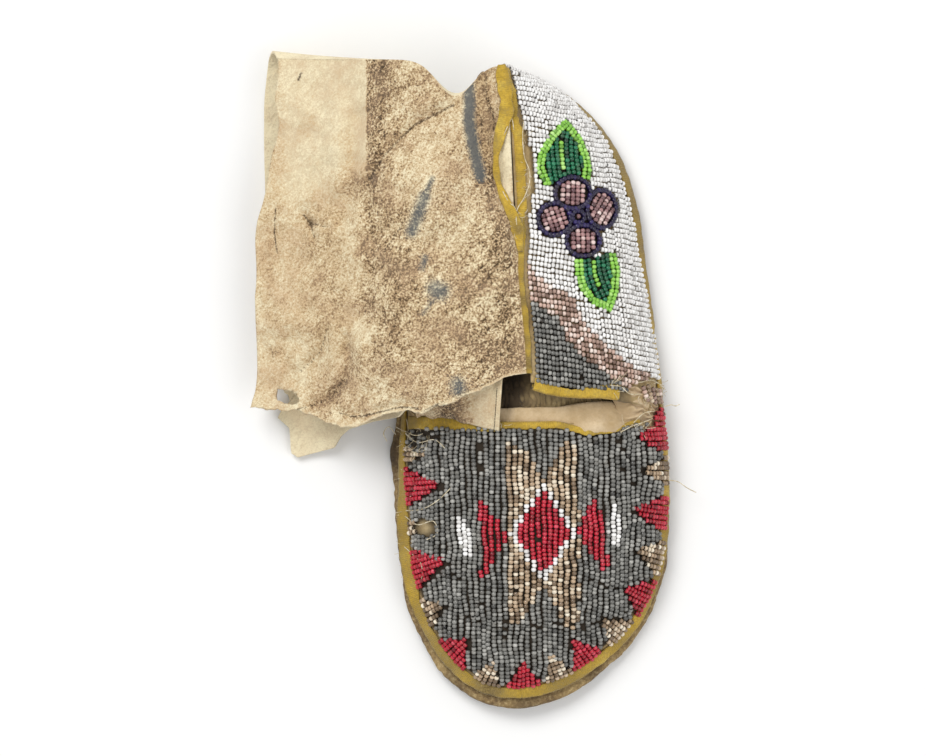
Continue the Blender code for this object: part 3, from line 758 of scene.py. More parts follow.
def hide_grids(side):
    """The hide's outer face on one side, as vamp, bridge and quarter grids that share their edges.

    With the vamp and the quarter come how far up each row is, and with the quarter its sections' lengths.
    """
    vamp, vamp_whole = side_face(side, np.linspace(1, THROAT_SHARE, 110), VAMP_RIDGE, hide_cuts)
    quarter, whole = side_face(side, np.linspace(QUARTER_SHARE, 0, 130), TOPLINE[side], hide_cuts)
    ahead, behind = vamp[-1, : HIDE_LOW + 1], quarter[0, : HIDE_LOW + 1]
    bridge = np.stack([ahead, (ahead + behind) / 2, behind])
    vamp_far, far = (hide_cuts(part) * part[:, None] for part in (vamp_whole, whole))
    return vamp, vamp_far, bridge, quarter, far, whole[:, None]


def build_hide():
    """The whole upper as one wall of hide; under the beads it is darkened by their thread and old dirt and by
    painted shade between the beads.
    """
    guide = hide_grids(LATERAL)[3]
    flower = flower_cover(guide[..., 0], guide[..., 1])
    grids = []
    soil = []
    for side in SIDES:
        vamp, far, bridge, quarter, quarter_far, whole = hide_grids(side)
        x, y = vamp[..., 0], vamp[..., 1]
        # Under the beads: thread and old dirt, and painted shade between the beads
        cover = soft_step(TAPE_WIDTH, TAPE_WIDTH + 1, far) * soft_step(-14.0, -15.0, y)
        soil.append(cover * (1 - 0.8 * bell(np.hypot(x - KNOT[0], y - KNOT[1]), 3)))
        soil.append(np.zeros(bridge.shape[:2]))
        x, y = quarter[..., 0], quarter[..., 1]
        down = whole - quarter_far
        cover = soft_step(TAPE_WIDTH, TAPE_WIDTH + 1, quarter_far) * soft_step(2.0, 3.2, down)
        slit = 0.0
        if side == LATERAL:
            cover = np.where(inside(x, y, BARE_STRIP), 0.05, cover)
            cover = np.clip(cover * (1 - 1.2 * bell(oval(x, y, PUCKER, PUCKER_SIZE), 1)), 0, 1)
            # Painted shadow: a faint dark band along the lateral quarter's top beside the slit
            slit = 0.25 * soft_step(1.5, 0.9, down) * soft_step(98, 94, y) * soft_step(62, 68, y)
        # Painted shade between the beads: full under the grey ground and the flower, weaker under the white
        # ground
        shade = np.where(flower | (quarter_colours(x, y) == "grey"), 1.0, 0.42)
        soil.append(np.clip(shade * cover + slit, 0, 1))
        grids += [(side, vamp), (side, bridge), (side, quarter)]
    thing = dress(weld(grid_piece("hide_upper", grids, {"soil": soil})), HIDE, "hide", "upper")
    thing.data.materials.append(HIDE_INSIDE)
    add_wall(thing, HIDE_WALL).modifiers["Wall"].material_offset = 1


# ----------------------------
# Tapes


def tape_uv(grid):
    """Distance along a tape's stations and across its rows, in millimetres."""
    along = np.linalg.norm(np.diff(grid, axis=0), axis=2).mean(axis=1)
    along = np.concatenate([[0], np.cumsum(along)])
    across = np.linalg.norm(np.diff(grid, axis=1), axis=2).mean(axis=0)
    across = np.concatenate([[0], np.cumsum(across)])
    return np.stack(np.meshgrid(along, across, indexing="ij"), axis=-1)


# The sole's tape is cut from a strip of the upper's face, this wide up from the seam
SEAM_STRIP = 5.4
SEAM_STATIONS = 520


def build_sole_tape():
    """The tape over the sole's seam: a strip of the upper's face, lifted off, with a wandering top edge."""
    grids = []
    grime = []
    shares = np.linspace(0, 1, SEAM_STATIONS)
    rows = np.linspace(0, 1, 8)[None]
    strip = np.linspace(0, SEAM_STRIP, 10)[None]
    for side in SIDES:
        parts = []
        for first, last, table in ((1.0, THROAT_SHARE, VAMP_RIDGE), (QUARTER_SHARE, 0.0, TOPLINE[side])):
            some = np.linspace(first, last, SEAM_STATIONS // 2)
            grid, _ = side_face(side, some, table, lambda whole: strip / whole[:, None])
            parts.append((grid, grid_normals(grid, side)))
        face, outward = (np.concatenate(part) for part in zip(*parts))
        x, y = face[:, 4, 0], face[:, 4, 1]
        top = (TAPE_WIDTH + 0.35 * ripple(x, y, 21, 9) * np.sin(math.pi * shares)) / SEAM_STRIP
        place = rows * top[:, None]
        flare = 0.55 + 1.7 * (side == MEDIAL) * soft_step(-34, -50, y) * soft_step(-92, -72, y)
        grid = sample(face, shares[:, None], place)
        away = unit(sample(outward, shares[:, None], place))
        x, y = grid[..., 0], grid[..., 1]
        puff = GAP + flare[:, None] * (1 - rows) ** 2 + 0.12 * np.sin(math.pi * rows)
        puff = puff + 0.1 * ripple(x, y, 22, 5)
        grids.append((side, grid + away * puff[..., None]))
        heel = 0.5 * soft_step(25, 60, y)
        worn = 0.2 * (x < 0) * soft_step(-25, -60, y) * soft_step(-118, -90, y)
        edge = 0.16 * (1 - rows) ** 2
        grime.append(np.clip(0.36 + heel + worn + edge + 0.2 * ripple(x, y, 23, 18), 0, 1))
    thing = grid_piece("sole_seam_tape", grids, {"grime": grime}, [tape_uv(grid) for _, grid in grids])
    weld(thing, 0.05)
    return add_wall(dress(thing, TAPE, "yellow_tape", "sole_tape"), TAPE_THICK, outwards=True)


def edge_frame(edge, inside_edge, side):
    """Along an edge: the direction into the panel, and the outward direction."""
    along = unit(np.gradient(edge, axis=0))
    into = inside_edge - edge
    into = unit(into - along * np.sum(into * along, axis=1, keepdims=True))
    return into, unit(np.cross(along, into)) * side


def fold_section(width, thick=0.55):
    """A tape folded over an edge: points (into the panel, outwards), up over the edge and back underneath."""
    top = GAP + thick
    low = -HIDE_WALL - 0.15
    turn = np.linspace(0, math.pi, 9)
    middle = (top + low - thick) / 2
    round_edge = [(-(top - middle) * 0.55 * math.sin(t), middle + (top - middle) * math.cos(t)) for t in turn]
    outer = [(width, GAP), (width, top - 0.12), (width - 0.25, top), (width / 2, top + 0.1)]
    inner = [(TAPE_TURNED_IN, low - thick), (TAPE_TURNED_IN, low), (0.15, low), (0.15, GAP)]
    return np.array(outer + round_edge + inner)


def build_binding(name, ways, width, node, seed, grime, thin):
    """A folded tape: its section is carried along an edge, a little wider here and narrower there.

    `ways` are the edge's points and its directions into the panel and outwards. `thin` is how wide the tape
    is along its length, as a share, and `grime` how dirty it is there. One face closes each end.
    """
    edge, into, outward = ways
    count = len(edge)
    section = fold_section(width)
    x, y = edge[:, 0], edge[:, 1]
    wide = (thin * (1 + 0.1 * ripple(x, y, seed, 9) + 0.05 * ripple(x, y, seed + 1, 2.5)))[:, None]
    reach = np.where(section[:, 0] > 0.5, section[:, 0] * wide, section[:, 0])
    swell = 1 + 0.12 * ripple(x, y, seed + 2, 3.5)[:, None] * (section[:, 1] > 0)
    rise = section[:, 1] * swell
    rings = edge[:, None] + into[:, None] * reach[..., None] + outward[:, None] * rise[..., None]
    rows = len(section)
    quads = grid_quads(count, rows, closed=True)
    caps = [np.arange(rows)[::-1], np.arange(rows) + (count - 1) * rows]
    corners = np.concatenate([quads.ravel()] + caps)
    thing = build_mesh(name, rings.reshape(-1, 3), corners, [4] * len(quads) + [rows, rows])
    shape = bmesh.new()
    shape.from_mesh(thing.data)
    bmesh.ops.recalc_face_normals(shape, faces=shape.faces)
    shape.to_mesh(thing.data)
    shape.free()
    store_uv(thing, tape_uv(rings).reshape(-1, 2))
    tint = grime + 0.25 * ripple(rings[..., 0], rings[..., 1], seed + 3, 10)
    store(thing, "grime", np.clip(tint, 0, 1))
    return dress(thing, TAPE, "yellow_tape", node)


def section_edge(side, share, table, v):
    """Points of one section at the places v, and of the section a little further into its panel."""
    step = 0.004 if table is VAMP_RIDGE else -0.004
    grid, _ = side_face(side, [share, share + step], table, v)
    return grid[0], grid[1]


def throat_edge(lateral, medial):
    """The throat's edge across the shoe and its directions, from places up each side's section."""
    sections = [section_edge(LATERAL, THROAT_SHARE, VAMP_RIDGE, lateral)]
    sections.append(section_edge(MEDIAL, THROAT_SHARE, VAMP_RIDGE, medial))
    edge, within = (np.concatenate(part) for part in zip(*sections))
    return edge, *edge_frame(edge, within, LATERAL)


def topline_edge(side, shares, strip):
    """A topline's points and its directions, which are read over a strip of the quarter's face below it."""
    rows = np.array([[strip, 0.0]])
    face, _ = side_face(side, shares, TOPLINE[side], lambda whole: 1 - rows / whole[:, None])
    return face[:, 1], *edge_frame(face[:, 1], face[:, 0], -side)


# How far the throat's facing laps over the vamp in front of the pucker
THROAT_LAP = 3.2


def throat_lap(x):
    """How far the facing laps over the vamp: nothing in the middle, THROAT_LAP towards the pucker."""
    return THROAT_LAP * soft_step(6, 22, x) * soft_step(38, 27, x)


# How far the lateral topline's tape reaches over the cuff's edge in front of the slit
TOPLINE_LAP = 1.3
# By place across: how far forward of the cut edge the lateral front's tape bows, and its share of full width
FRONT_BOW = [(-6, 0.8), (0, 1.9), (4, 2.3), (9, 2.2), (16, 1.3), (20, 0.5), (24, -0.4), (30, -0.9)]
FRONT_WIDTH = [(-2, 1.25), (5, 1), (9, 0.8), (16, 0.85), (22, 1.2), (28, 1.6), (30.5, 1.75)]


def build_bindings():
    """The tapes over the throat's edge, the fronts of the quarters and the toplines."""
    edge, into, outward = throat_edge(np.linspace(0.3, 1, 110), np.linspace(1, 0.12, 110)[1:])
    x = edge[:, 0]
    lap = throat_lap(x)[:, None]
    back = 1.3 * soft_step(-20, -30, x)[:, None]
    edge = edge + into * (lap - back) + outward * 0.12 * lap
    thin = 1.25 - 0.5 * soft_step(-16, -8, x) - 0.45 * soft_step(14, 32, x) + 0.5 * soft_step(-20, -30, x)
    build_binding("throat_tape", (edge, into, outward), THROAT_TAPE_WIDTH, "throat_binding", 31, 0.25, thin)
    for side, first in ((LATERAL, 0.475), (MEDIAL, 0.4)):
        word = WORDS[side]
        edge, within = section_edge(side, QUARTER_SHARE, TOPLINE[side], np.linspace(first, 0.985, 90))
        into, outward = edge_frame(edge, within, -side)
        thin = np.ones(90)
        if side == LATERAL:
            x = edge[:, 0]
            edge = edge - into * np.interp(x, *np.transpose(FRONT_BOW))[:, None] + outward * 0.35
            thin = np.interp(x, *np.transpose(FRONT_WIDTH))
        ways = (edge, into, outward)
        node = f"{word}_front_binding"
        build_binding(f"{word}_front_tape", ways, FRONT_TAPE_WIDTH, node, 35 + side, -0.4, thin)
        edge, into, outward = topline_edge(side, np.linspace(QUARTER_MARGIN_SHARE, 0.012, 240), 1.0)
        y = edge[:, 1]
        aside = np.zeros_like(y)
        grime = 0.15
        width = 2.2
        if side == LATERAL:
            aside = 1.5 * soft_step(99, 90, y) * soft_step(60, 68, y) - TOPLINE_LAP * soft_step(54, 40, y)
            grime = 0.15 + 0.5 * soft_step(56, 40, y)[:, None]
            width = 2.7 - 1.4 * soft_step(58, 46, y)
        ways = (edge + into * aside[:, None] + outward * 0.35 * np.abs(aside)[:, None], into, outward)
        node = f"{word}_topline_binding"
        thin = width / EDGE_TAPE_WIDTH
        build_binding(f"{word}_topline_tape", ways, EDGE_TAPE_WIDTH, node, 41 + side, grime, thin)


# ----------------------------
# The tongue

# Rows behind the throat's edge, and how far each lies under the vamp's outer face. The facing has a second
# table where it laps over the edge. Each row: back, drop
FACING_ROWS = [(-3, 2.7), (-2, 2.6), (-1, 2.6), (0.5, 2.7), (3, 3), (5.6, 3.6)]
LAPPED_ROWS = [(-3.6, -0.5), (-2, -0.95), (-0.4, -0.9), (0.5, -0.1), (3, 1.8), (7.4, 3.2)]
TONGUE_ROWS = [(-2, 4.4), (3, 4.8), (7, 5.4), (11, 6.4), (15, 7.6), (19, 9.4)]
RIB_PITCH = 1.9


def build_tongue():
    """Two strips at the throat's edge: a smooth pale facing, and behind it a darker hide in upright ribs, with
    painted shade in the ribs' troughs and a painted shadow of the cuff near x = -9.
    """
    edge, *ways = throat_edge(np.linspace(0.2, 1, 140), np.linspace(1, 0.4, 110)[1:])
    into, outward = (np.column_stack([eased(column, 10) for column in way.T]) for way in ways)
    lap = (throat_lap(edge[:, 0]) / THROAT_LAP)[:, None, None]
    rows = np.arange(len(FACING_ROWS))
    tables = (FACING_ROWS, LAPPED_ROWS, TONGUE_ROWS)
    plain, lapped, ribbed = (read_columns(np.linspace(0, rows[-1], 26), rows, table) for table in tables)
    for name, place, material, ribs in (
        ("throat_facing", plain * (1 - lap) + lapped * lap, FACING, 0.0),
        ("throat_tongue", ribbed[None], HIDE_INSIDE, 0.2),
    ):
        grid = edge[:, None] - into[:, None] * place[..., :1] - outward[:, None] * place[..., 1:]
        x, y = grid[..., 0], grid[..., 1]
        wave = np.sin(2 * math.pi * (x + 0.3 * ripple(x, y, 51, 6)) / RIB_PITCH)
        wave = ribs * wave * (0.7 + ripple(x, y, 53, 3.5))
        soft = (0.12 + 0.1 * (ribs > 0)) * ripple(x, y, 52, 7)
        grid = grid + outward[:, None] * (wave + soft)[..., None]
        # Painted shade on the ribbed strip: darker in the ribs' troughs, and a painted shadow of the cuff near
        # x = -9
        soil = 0.35 * (ribs > 0) - 0.9 * wave + 1.2 * bell(x + 9, 5) * (ribs > 0)
        thing = grid_piece(name, [(LATERAL, grid)], {"soil": [np.clip(soil, 0, 1)]})
        add_wall(dress(thing, material, "hide", "tongue"), 0.9)


def pucker_face(out, across):
    """Points over the pucker and their outward directions, `out` mm up from the seam.

    Across, they run straight from the quarter's section behind, at 0, to the vamp's in front, at 1.
    """
    ends = []
    for face, u in ((QUARTER[LATERAL], 0.05), (VAMP[LATERAL], 0.0)):
        place = np.full(out.shape, u)
        v = out / whole_at(face, place)
        ends.append((sample(face["grid"], place, v), sample(face["normals"], place, v)))
    share = across[..., None]
    points, outward = (behind * (1 - share) + ahead * share for behind, ahead in zip(*ends))
    return points, unit(outward)


def build_gusset():
    """The puckered end of the opening: a patch over it, in pleats that run up from the seam.

    Its rise off the faces is a squared sine across the pleats, faded to its upper and lower ends.
    Painted shade darkens it between the pleats and at its tucked upper end.
    """
    u = np.linspace(0, 1, 70)[:, None]
    v = np.linspace(0, 1, 64)[None]
    out = 30.5 - 26.3 * u + 2.2 * np.sin(5 * v + 1) * (1 - u)
    across = -0.02 + 1.02 * v + 0.06 * np.sin(4 * u) * (1 - v)
    points, outward = pucker_face(out, across)
    pleats = 4.6 * v + 0.5 * np.sin(2.4 * u + 1) + 0.2 * ripple(out, points[..., 1], 58, 6)
    pleats = np.sin(math.pi * pleats) ** 2
    faded = soft_step(0.0, 0.3, u) * soft_step(1.0, 0.8, u)
    upper_end = soft_step(0.3, 0.0, u)
    rise = 0.35 + 1.0 * pleats * faded - 2.4 * upper_end * soft_step(0.0, 0.25, v) * soft_step(1.0, 0.75, v)
    rise = rise - 0.5 * soft_step(0.08, 0.0, v) - 0.4 * soft_step(0.92, 1.0, v)
    rise = rise - 0.5 * soft_step(0.85, 1.0, u)
    # Painted shade: darker between the pleats and at the upper end, which is tucked under
    soil = np.clip(0.5 * (1 - pleats) * faded + 0.25 * upper_end, 0, 1)
    thing = grid_piece("pucker_gusset", [(MEDIAL, points + outward * rise[..., None])], {"soil": [soil]})
    add_wall(dress(thing, FACING, "hide"), 0.6)


# ----------------------------
# The cuff: a tube of soft hide, open in front, flopped over the medial side and flattened

# Its free edge as it lies: the upper layer over the lateral shares, the lower one over the medial. Each row:
# share, x, y, z
CUFF_EDGE = {
    LATERAL: [
        (0, -96, 122.5, 15.5), (0.05, -95.6, 116.5, 16.5), (0.1, -96.4, 106, 17), (0.2, -99.8, 86, 17),
        (0.3, -103.4, 62, 17), (0.4, -103.2, 36, 17), (0.5, -102.8, 8, 17), (0.532, -106, -6, 16.5),
    ],
    MEDIAL: [
        (0, -96, 122.5, 15.5), (0.03, -97.5, 125.8, 10.5), (0.06, -99, 125, 5), (0.09, -100, 121, 1.6),
        (0.13, -101, 112, 0.7), (0.2, -101.5, 96, 0.5), (0.3, -100.8, 66, 0.5), (0.4, -100, 36, 0.5),
        (0.5, -98.5, 8, 0.5), (0.532, -97, -10, 0.5),
    ],
}

# How each layer falls from its seam to its free edge: the way across, the lift, and the share of the fall
CUFF_FALL = {
    LATERAL: [
        (0, 0, 0), (0.1, 2.8, 0), (0.22, 5, 0.01), (0.34, 5.4, 0.05), (0.46, 4.2, 0.18), (0.6, 2.4, 0.42),
        (0.75, 0.8, 0.68), (0.88, 0, 0.87), (1, 0, 1),
    ],
    MEDIAL: [
        (0, 0, 0), (0.05, 1.5, 0), (0.12, 1.7, 0.05), (0.22, 1, 0.18), (0.34, 0.3, 0.39), (0.48, 0, 0.64),
        (0.62, 0, 0.84), (0.78, 0, 0.965), (0.9, 0, 0.995), (1, 0, 1),
    ],
}
FOLD_SHARE = 0.09

# The cut front edge of each layer swings towards the toe: the way across, and how far
CUFF_FRONT = {
    LATERAL: [
        (0, 0), (0.06, 0), (0.113, 1.8), (0.167, 3.7), (0.22, 5.3), (0.28, 7.8), (0.33, 8), (0.38, 10.4),
        (0.44, 9.4), (0.51, 10.5), (0.61, 13.4), (0.66, 12.8), (0.71, 10.6), (0.78, 6), (0.84, 3.4),
        (0.88, 3.6), (0.94, 1.8), (1, 0.9),
    ],
    MEDIAL: [
        (0, 0), (0.24, 12), (0.4, 11.4), (0.55, 12), (0.6, 14), (0.64, 17.6), (0.87, 17.8), (0.915, 15.5),
        (0.925, 6), (1, 1),
    ],
}
FRONT_REACH_SHARE = 0.07

# The pinch where the cuff is gathered behind the heel
PINCH_X = -30.0
PINCH_DEPTH = 13.0
PINCH_WIDTH = 9.0
PINCH_REACH = 20.0
HEEL_SEAM_X = -12.5
HEEL_SEAM_Y = 118.6

# Creases in the upper layer: points along each, its depth (a ridge below 0) and its width
CREASES = [
    ([(-28.4, 104.8), (-44.7, 96.5), (-50.4, 91.2), (-56.2, 85), (-61.4, 76.6)], 1.6, 2.2),
    ([(-30, 109), (-46, 101), (-56, 92), (-64, 80)], -1.5, 4),
    ([(-66, 100), (-67, 88), (-67.5, 76), (-71.5, 62)], 2.2, 3.4),
    ([(-74, 108), (-74.5, 90), (-72.8, 76)], -2.2, 4.6),
    ([(-18.4, 114), (-18.6, 108), (-16.2, 101), (-15.4, 97), (-17, 90)], 1.1, 0.9),
    ([(-22.4, 108), (-21.4, 98), (-19.6, 86)], 1, 1.1),
    ([(-16.6, 110), (-14.8, 101)], -0.8, 1.2),
    ([(-84, 30), (-92, 14), (-90, 4)], 1.2, 2.4),
    ([(-74, -8.4), (-66, -10.6), (-58, -8.9), (-50, -6.6), (-43, -6.8)], 0.8, 0.9),
    ([(-83.4, 61.4), (-77, 59.6)], 1.6, 1.3),
    ([(-83.4, 61.4), (-86.5, 65)], 1.4, 1.3),
    ([(-83.4, 61.4), (-81.8, 55.5)], 1.4, 1.3),
    ([(-96.5, 67.2), (-97, 58), (-96, 50.4)], 0.9, 1.6),
    ([(-77, 22.3), (-79.2, 14.6), (-83, 10), (-87.7, 6.2)], 1.4, 1.4),
    ([(-70, 18.5), (-68.5, 9.2), (-71.5, 1.5), (-75.4, -3), (-84, -6.6)], 1.9, 1.9),
    ([(-65, 16), (-64.5, 4), (-70, -5)], -1.6, 3.5),
    ([(-75, 18), (-75.5, 6), (-81, -1)], -1, 2.6),
    ([(-62.4, 73.5), (-60, 50), (-63, 27.4)], 1, 3),
    ([(-40, 70), (-50, 40), (-52, 12)], -1.2, 7),
    ([(-24, 80), (-26, 50), (-30, 18)], 1.1, 5),
    ([(-35, -4), (-48, -6), (-58, -10)], 1, 1.8),
]

# The oval hole near the free edge's front corner: centre, half sizes and turn
HOLE = (-92.3, -3.0)
HOLE_SIZE = (4.9, 2.4)
HOLE_TURN = math.radians(-20)


def cuff_layer(side, shares, across):
    """One layer, station by row, from its seam on the topline to its free edge.

    Each point runs straight across in plan from seam to free edge. Its height is the seam's, with the fall
    table's lift, and a share of the drop. The front edge swings to the toe, and the pinch draws the heel in.
    """
    seam, into, _ = topline_edge(side, shares, TOPLINE_TAPE_WIDTH)
    start = seam - into * CUFF_SET_BACK + (0, 0, CUFF_LIFT)
    free = smooth_through(CUFF_EDGE[side], shares)
    way = across[None, :, None]
    points = start[:, None] * (1 - way) + free[:, None] * way
    drop = (free[:, 2] - start[:, 2])[:, None]
    heights = {}
    for kind in SIDES:
        rule = smooth_through(CUFF_FALL[kind], across)
        heights[kind] = start[:, 2:3] + rule[:, 0] + drop * rule[:, 1]
    folded = soft_step(0, FOLD_SHARE, shares)[:, None] * (side == MEDIAL)
    points[:, :, 2] = heights[LATERAL] * (1 - folded) + heights[MEDIAL] * folded
    swing = np.interp(across, *np.transpose(CUFF_FRONT[side]))
    near_front = bell(QUARTER_MARGIN_SHARE - shares, FRONT_REACH_SHARE)[:, None]
    points[:, :, 1] -= swing * near_front
    at_pinch = bell(points[:, :, 0] - PINCH_X, PINCH_WIDTH)
    if side == LATERAL:
        near_heel = np.exp(-(HEEL_SEAM_Y - start[:, 1]) / PINCH_REACH)
    else:
        near_heel = np.clip((start[:, 0] - PINCH_X) / (HEEL_SEAM_X - PINCH_X), 0, 1)
    points[:, :, 1] -= PINCH_DEPTH * at_pinch * near_heel[:, None]
    return points


def crumple(points):
    """Raise and lower a layer by its creases, each a soft trough along a line, and by a random swell."""
    x, y = points[..., 0], points[..., 1]
    height = 0.9 * ripple(x, y, 61, 42) + 0.35 * ripple(x, y, 62, 13) + 0.12 * ripple(x, y, 63, 4)
    for path, depth, width in CREASES:
        height = height - depth * bell(path_distance(x, y, path), width)
    return height


# Grey-blue paint on the cuff: points along each stroke or spot, and its half width
PAINT = [
    ([(-25, 111.5), (-24.6, 104), (-24.9, 97.5), (-23.6, 90), (-21.6, 81.5), (-20.6, 77.8)], 2.8, 1.2),
    ([(-38.3, 76.5), (-41, 70)], 1.9, 0.9), ([(-41, 70), (-43.4, 63.5), (-45.8, 57.4)], 3.5, 1),
    ([(-40.9, 48), (-41.8, 44)], 2, 0.8), ([(-37, 36.4), (-35.4, 35.6)], 5, 1),
    ([(-37.5, 33), (-41.5, 27.6)], 1.7, 0.72), ([(-28.9, 1.8), (-28.6, -0.2)], 4.3, 0.95),
]
# Brown stains on the cuff, and painted shade in one fold, in the same way, and how strong each is
STAINS = [
    ([(-61.4, 80), (-62.8, 72)], 2.4, 0.9), ([(-62.4, 73.5), (-60, 50), (-62, 27.4)], 4.8, 0.5),
    # The second entry on the next line, along x = -70 from y 92 to 62, is painted shade in a fold's trough
    ([(-56, 64), (-50, 40), (-54, 14)], 8, 0.58), ([(-69.5, 92), (-68, 78), (-70, 62)], 3.6, 0.3),
    ([(-79, 62), (-77, 42), (-79, 22)], 9.5, 0.6), ([(-97, 84), (-98, 50), (-96, 22)], 5.5, 0.3),
    ([(-100, 108), (-99, 92)], 3, 0.2), ([(-32, 119), (-30, 108)], 5, 0.3),
    ([(-48, 112), (-40, 106), (-33, 100)], 3, 0.3),
    ([(-20.6, 117), (-19.6, 102), (-18.4, 86), (-17, 76)], 4.2, 1.4),
    ([(-17.8, 106), (-17.4, 101)], 1.6, 1.9), ([(-21.6, 100), (-20.4, 96)], 1.2, 1.6),
    ([(-15.5, 76), (-11, 44), (-9, 6)], 4.6, 0.5), ([(-20, 50), (-16, 14)], 8, 0.28),
    ([(-34, 20), (-24, 6)], 7, 0.22), ([(-22, 16), (-16, 8)], 5, 0.45),
    ([(-70, 18.5), (-68.5, 9.2), (-71.5, 1.5)], 2.4, 0.65), ([(-71.5, 2.5), (-75.4, -2.6)], 2.6, 1.05),
    ([(-75.4, -3), (-83, -6)], 1.5, 0.8), ([(-77, 22.3), (-79.2, 14.6), (-83, 10)], 1.6, 0.45),
    ([(-27.3, -4), (-27.3, -7.5)], 2.6, 1.1), ([(-84, 100), (-86, 96)], 3, 0.2),
    ([(-97, 14), (-93, 10)], 2.6, 0.45),
]
# The long stained streak down from the back edge, crisp on its left
STREAK = [(-62.4, 124), (-62.4, 76), (-60, 72), (-57, 78), (-52, 88), (-46, 96), (-46, 124)]
# Painted shade: fine dark lines in the cuff's creases and along its turned front hem, and their half widths
DARK_LINES = [
    ([(-30.5, 103.4), (-44.7, 96.5), (-50.4, 91.2), (-56.2, 85), (-61.4, 76.6)], 0.8),
    ([(-83.4, 61.4), (-77, 59.6)], 0.6), ([(-83.4, 61.4), (-86.2, 64.6)], 0.6),
    ([(-83.4, 61.4), (-82, 56)], 0.6), ([(-83.6, 61.6), (-83, 61)], 1.3),
    ([(-96.5, 67.2), (-97, 58), (-96, 50.4)], 0.5),
    ([(-77, 22.3), (-79.2, 14.6), (-83, 10), (-87.7, 6.2)], 0.6),
    ([(-71.5, 2.5), (-75.4, -3), (-83, -6.2), (-92.5, -9)], 0.7),
    ([(-98.6, 17), (-97.6, 13), (-95.6, 14.4), (-97.8, 10.4)], 0.5, 0.8), ([(-87, 117), (-88, 114.5)], 0.7),
    ([(-18.4, 114), (-18.6, 108), (-16.2, 101), (-15.4, 97), (-17, 90)], 0.6),
    ([(-22.4, 101), (-20.4, 99), (-20, 93)], 0.5),
    ([(-76, -8.6), (-66, -10.4), (-58, -8.6), (-50, -6.6), (-43, -7.1)], 0.6, 1.1),
    ([(-42, -8.3), (-37, -5.7), (-33, -4.1), (-27.5, -1.7), (-22.2, 0.4), (-13.5, 4.4)], 0.5, 0.9),
    ([(-48, 62), (-56, 50)], 0.6),
]


def near(x, y, strokes):
    """How near each point is to a set of strokes: 1 on a stroke, one over e at its half width out."""
    total = np.zeros(np.shape(x))
    for path, half, *strength in strokes:
        weight = strength[0] if strength else 1.0
        total = np.maximum(total, weight * bell(path_distance(x, y, path), half))
    return total


def slit_share(x, y):
    """How much of the slit's clean interior shows: 1 between the split tape and the topline's own."""
    return np.exp(-(((x + 11.4) / 3.0) ** 4)) * soft_step(100, 94, y) * soft_step(62, 70, y)


# Where the cuff is rubbed clean: round its creases behind the slit, and in two broad light bands
WRINKLED = [([(-20, 118), (-19, 100), (-17.6, 84)], 5)]
LIGHT_BANDS = [([(-28, 108), (-36, 88), (-44, 72)], 8), ([(-24, 76), (-30, 50)], 6)]


def cuff_tints(points, upper):
    """How worn, stained and painted a layer is at each point, with painted shade in its creases and under the
    hole; the lower one shows its clean side.
    """
    x, y = points[..., 0], points[..., 1]
    worn = soft_step(-84, -58, x + 3 * ripple(x, y, 71, 24)) * (0.66 + 0.2 * soft_step(-50, -15, x))
    worn = np.maximum(worn, 0.31 * soft_step(88, 60, y))
    top = soft_step(72, 86, y)
    worn = worn * (1 - top) + np.where(x > -62.4, 0.66, 0.1 + 0.24 * soft_step(-90, -100, x)) * top
    worn = worn * (1 - 0.72 * upper * near(x, y, WRINKLED)) - 0.16 * near(x, y, LIGHT_BANDS)
    worn = np.maximum(worn, 0.55 * soft_step(24, 0, y - 0.3 * (x + 80)) * soft_step(-94, -80, x))
    streak = inside(x, y, STREAK) * (0.85 - 0.75 * soft_step(-57.5, -48, x + 2 * ripple(x, y, 73, 9)))
    here = upper * (1.0 - slit_share(x, y))
    # Painted shade: the lower layer is tinted grey where it is seen through the hole
    under_hole = (not upper) * near(x, y, [([(HOLE[0] - 2, HOLE[1]), (HOLE[0] + 2, HOLE[1])], 4.6)])
    return {
        "worn": worn * here + 0.1 * (1 - here),
        "stain": here * np.maximum(near(x, y, STAINS), streak) - 0.3 * (1 - here),
        "paint": here * near(x, y, PAINT) + 0.28 * under_hole,
        "crease": here * near(x, y, DARK_LINES),
    }


def cut_hole(thing, upper_count):
    """Draw the grid onto the hole's rim and take out what lies inside it, in the upper layer alone."""
    mesh = thing.data
    points = np.empty((len(mesh.vertices), 3), dtype=np.float32)
    mesh.vertices.foreach_get("co", points.ravel())
    turn = np.array([[math.cos(HOLE_TURN), math.sin(HOLE_TURN)], [-math.sin(HOLE_TURN), math.cos(HOLE_TURN)]])
    local = (points[:, :2] / MM - HOLE) @ turn.T / HOLE_SIZE
    far = np.linalg.norm(local, axis=1)
    upper = np.arange(len(points)) < upper_count
    rim = upper & (np.abs(far - 1) < 0.13)
    points[rim, :2] = ((local / far[:, None] * HOLE_SIZE) @ turn + HOLE)[rim] * MM
    mesh.vertices.foreach_set("co", points.ravel())
    shape = bmesh.new()
    shape.from_mesh(mesh)
    shape.verts.ensure_lookup_table()
    gone = [shape.verts[k] for k in np.flatnonzero(upper & (far < 0.87))]
    bmesh.ops.delete(shape, geom=gone, context="VERTS")
    shape.to_mesh(mesh)
    shape.free()


# How far the upper layer's free edge is moved towards the shoe, at each place along
FREE_EDGE_SHIFT = [
    (-7, 0), (-2, 1.2), (2, 0.8), (8, -1.4), (14, -2.2), (20, -2.2), (30, -1.1),
    (40, -0.5), (54, -0.7), (68, 1.3), (81, 1.7), (92, 2.3), (109, 1.4), (120, 0.6),
]


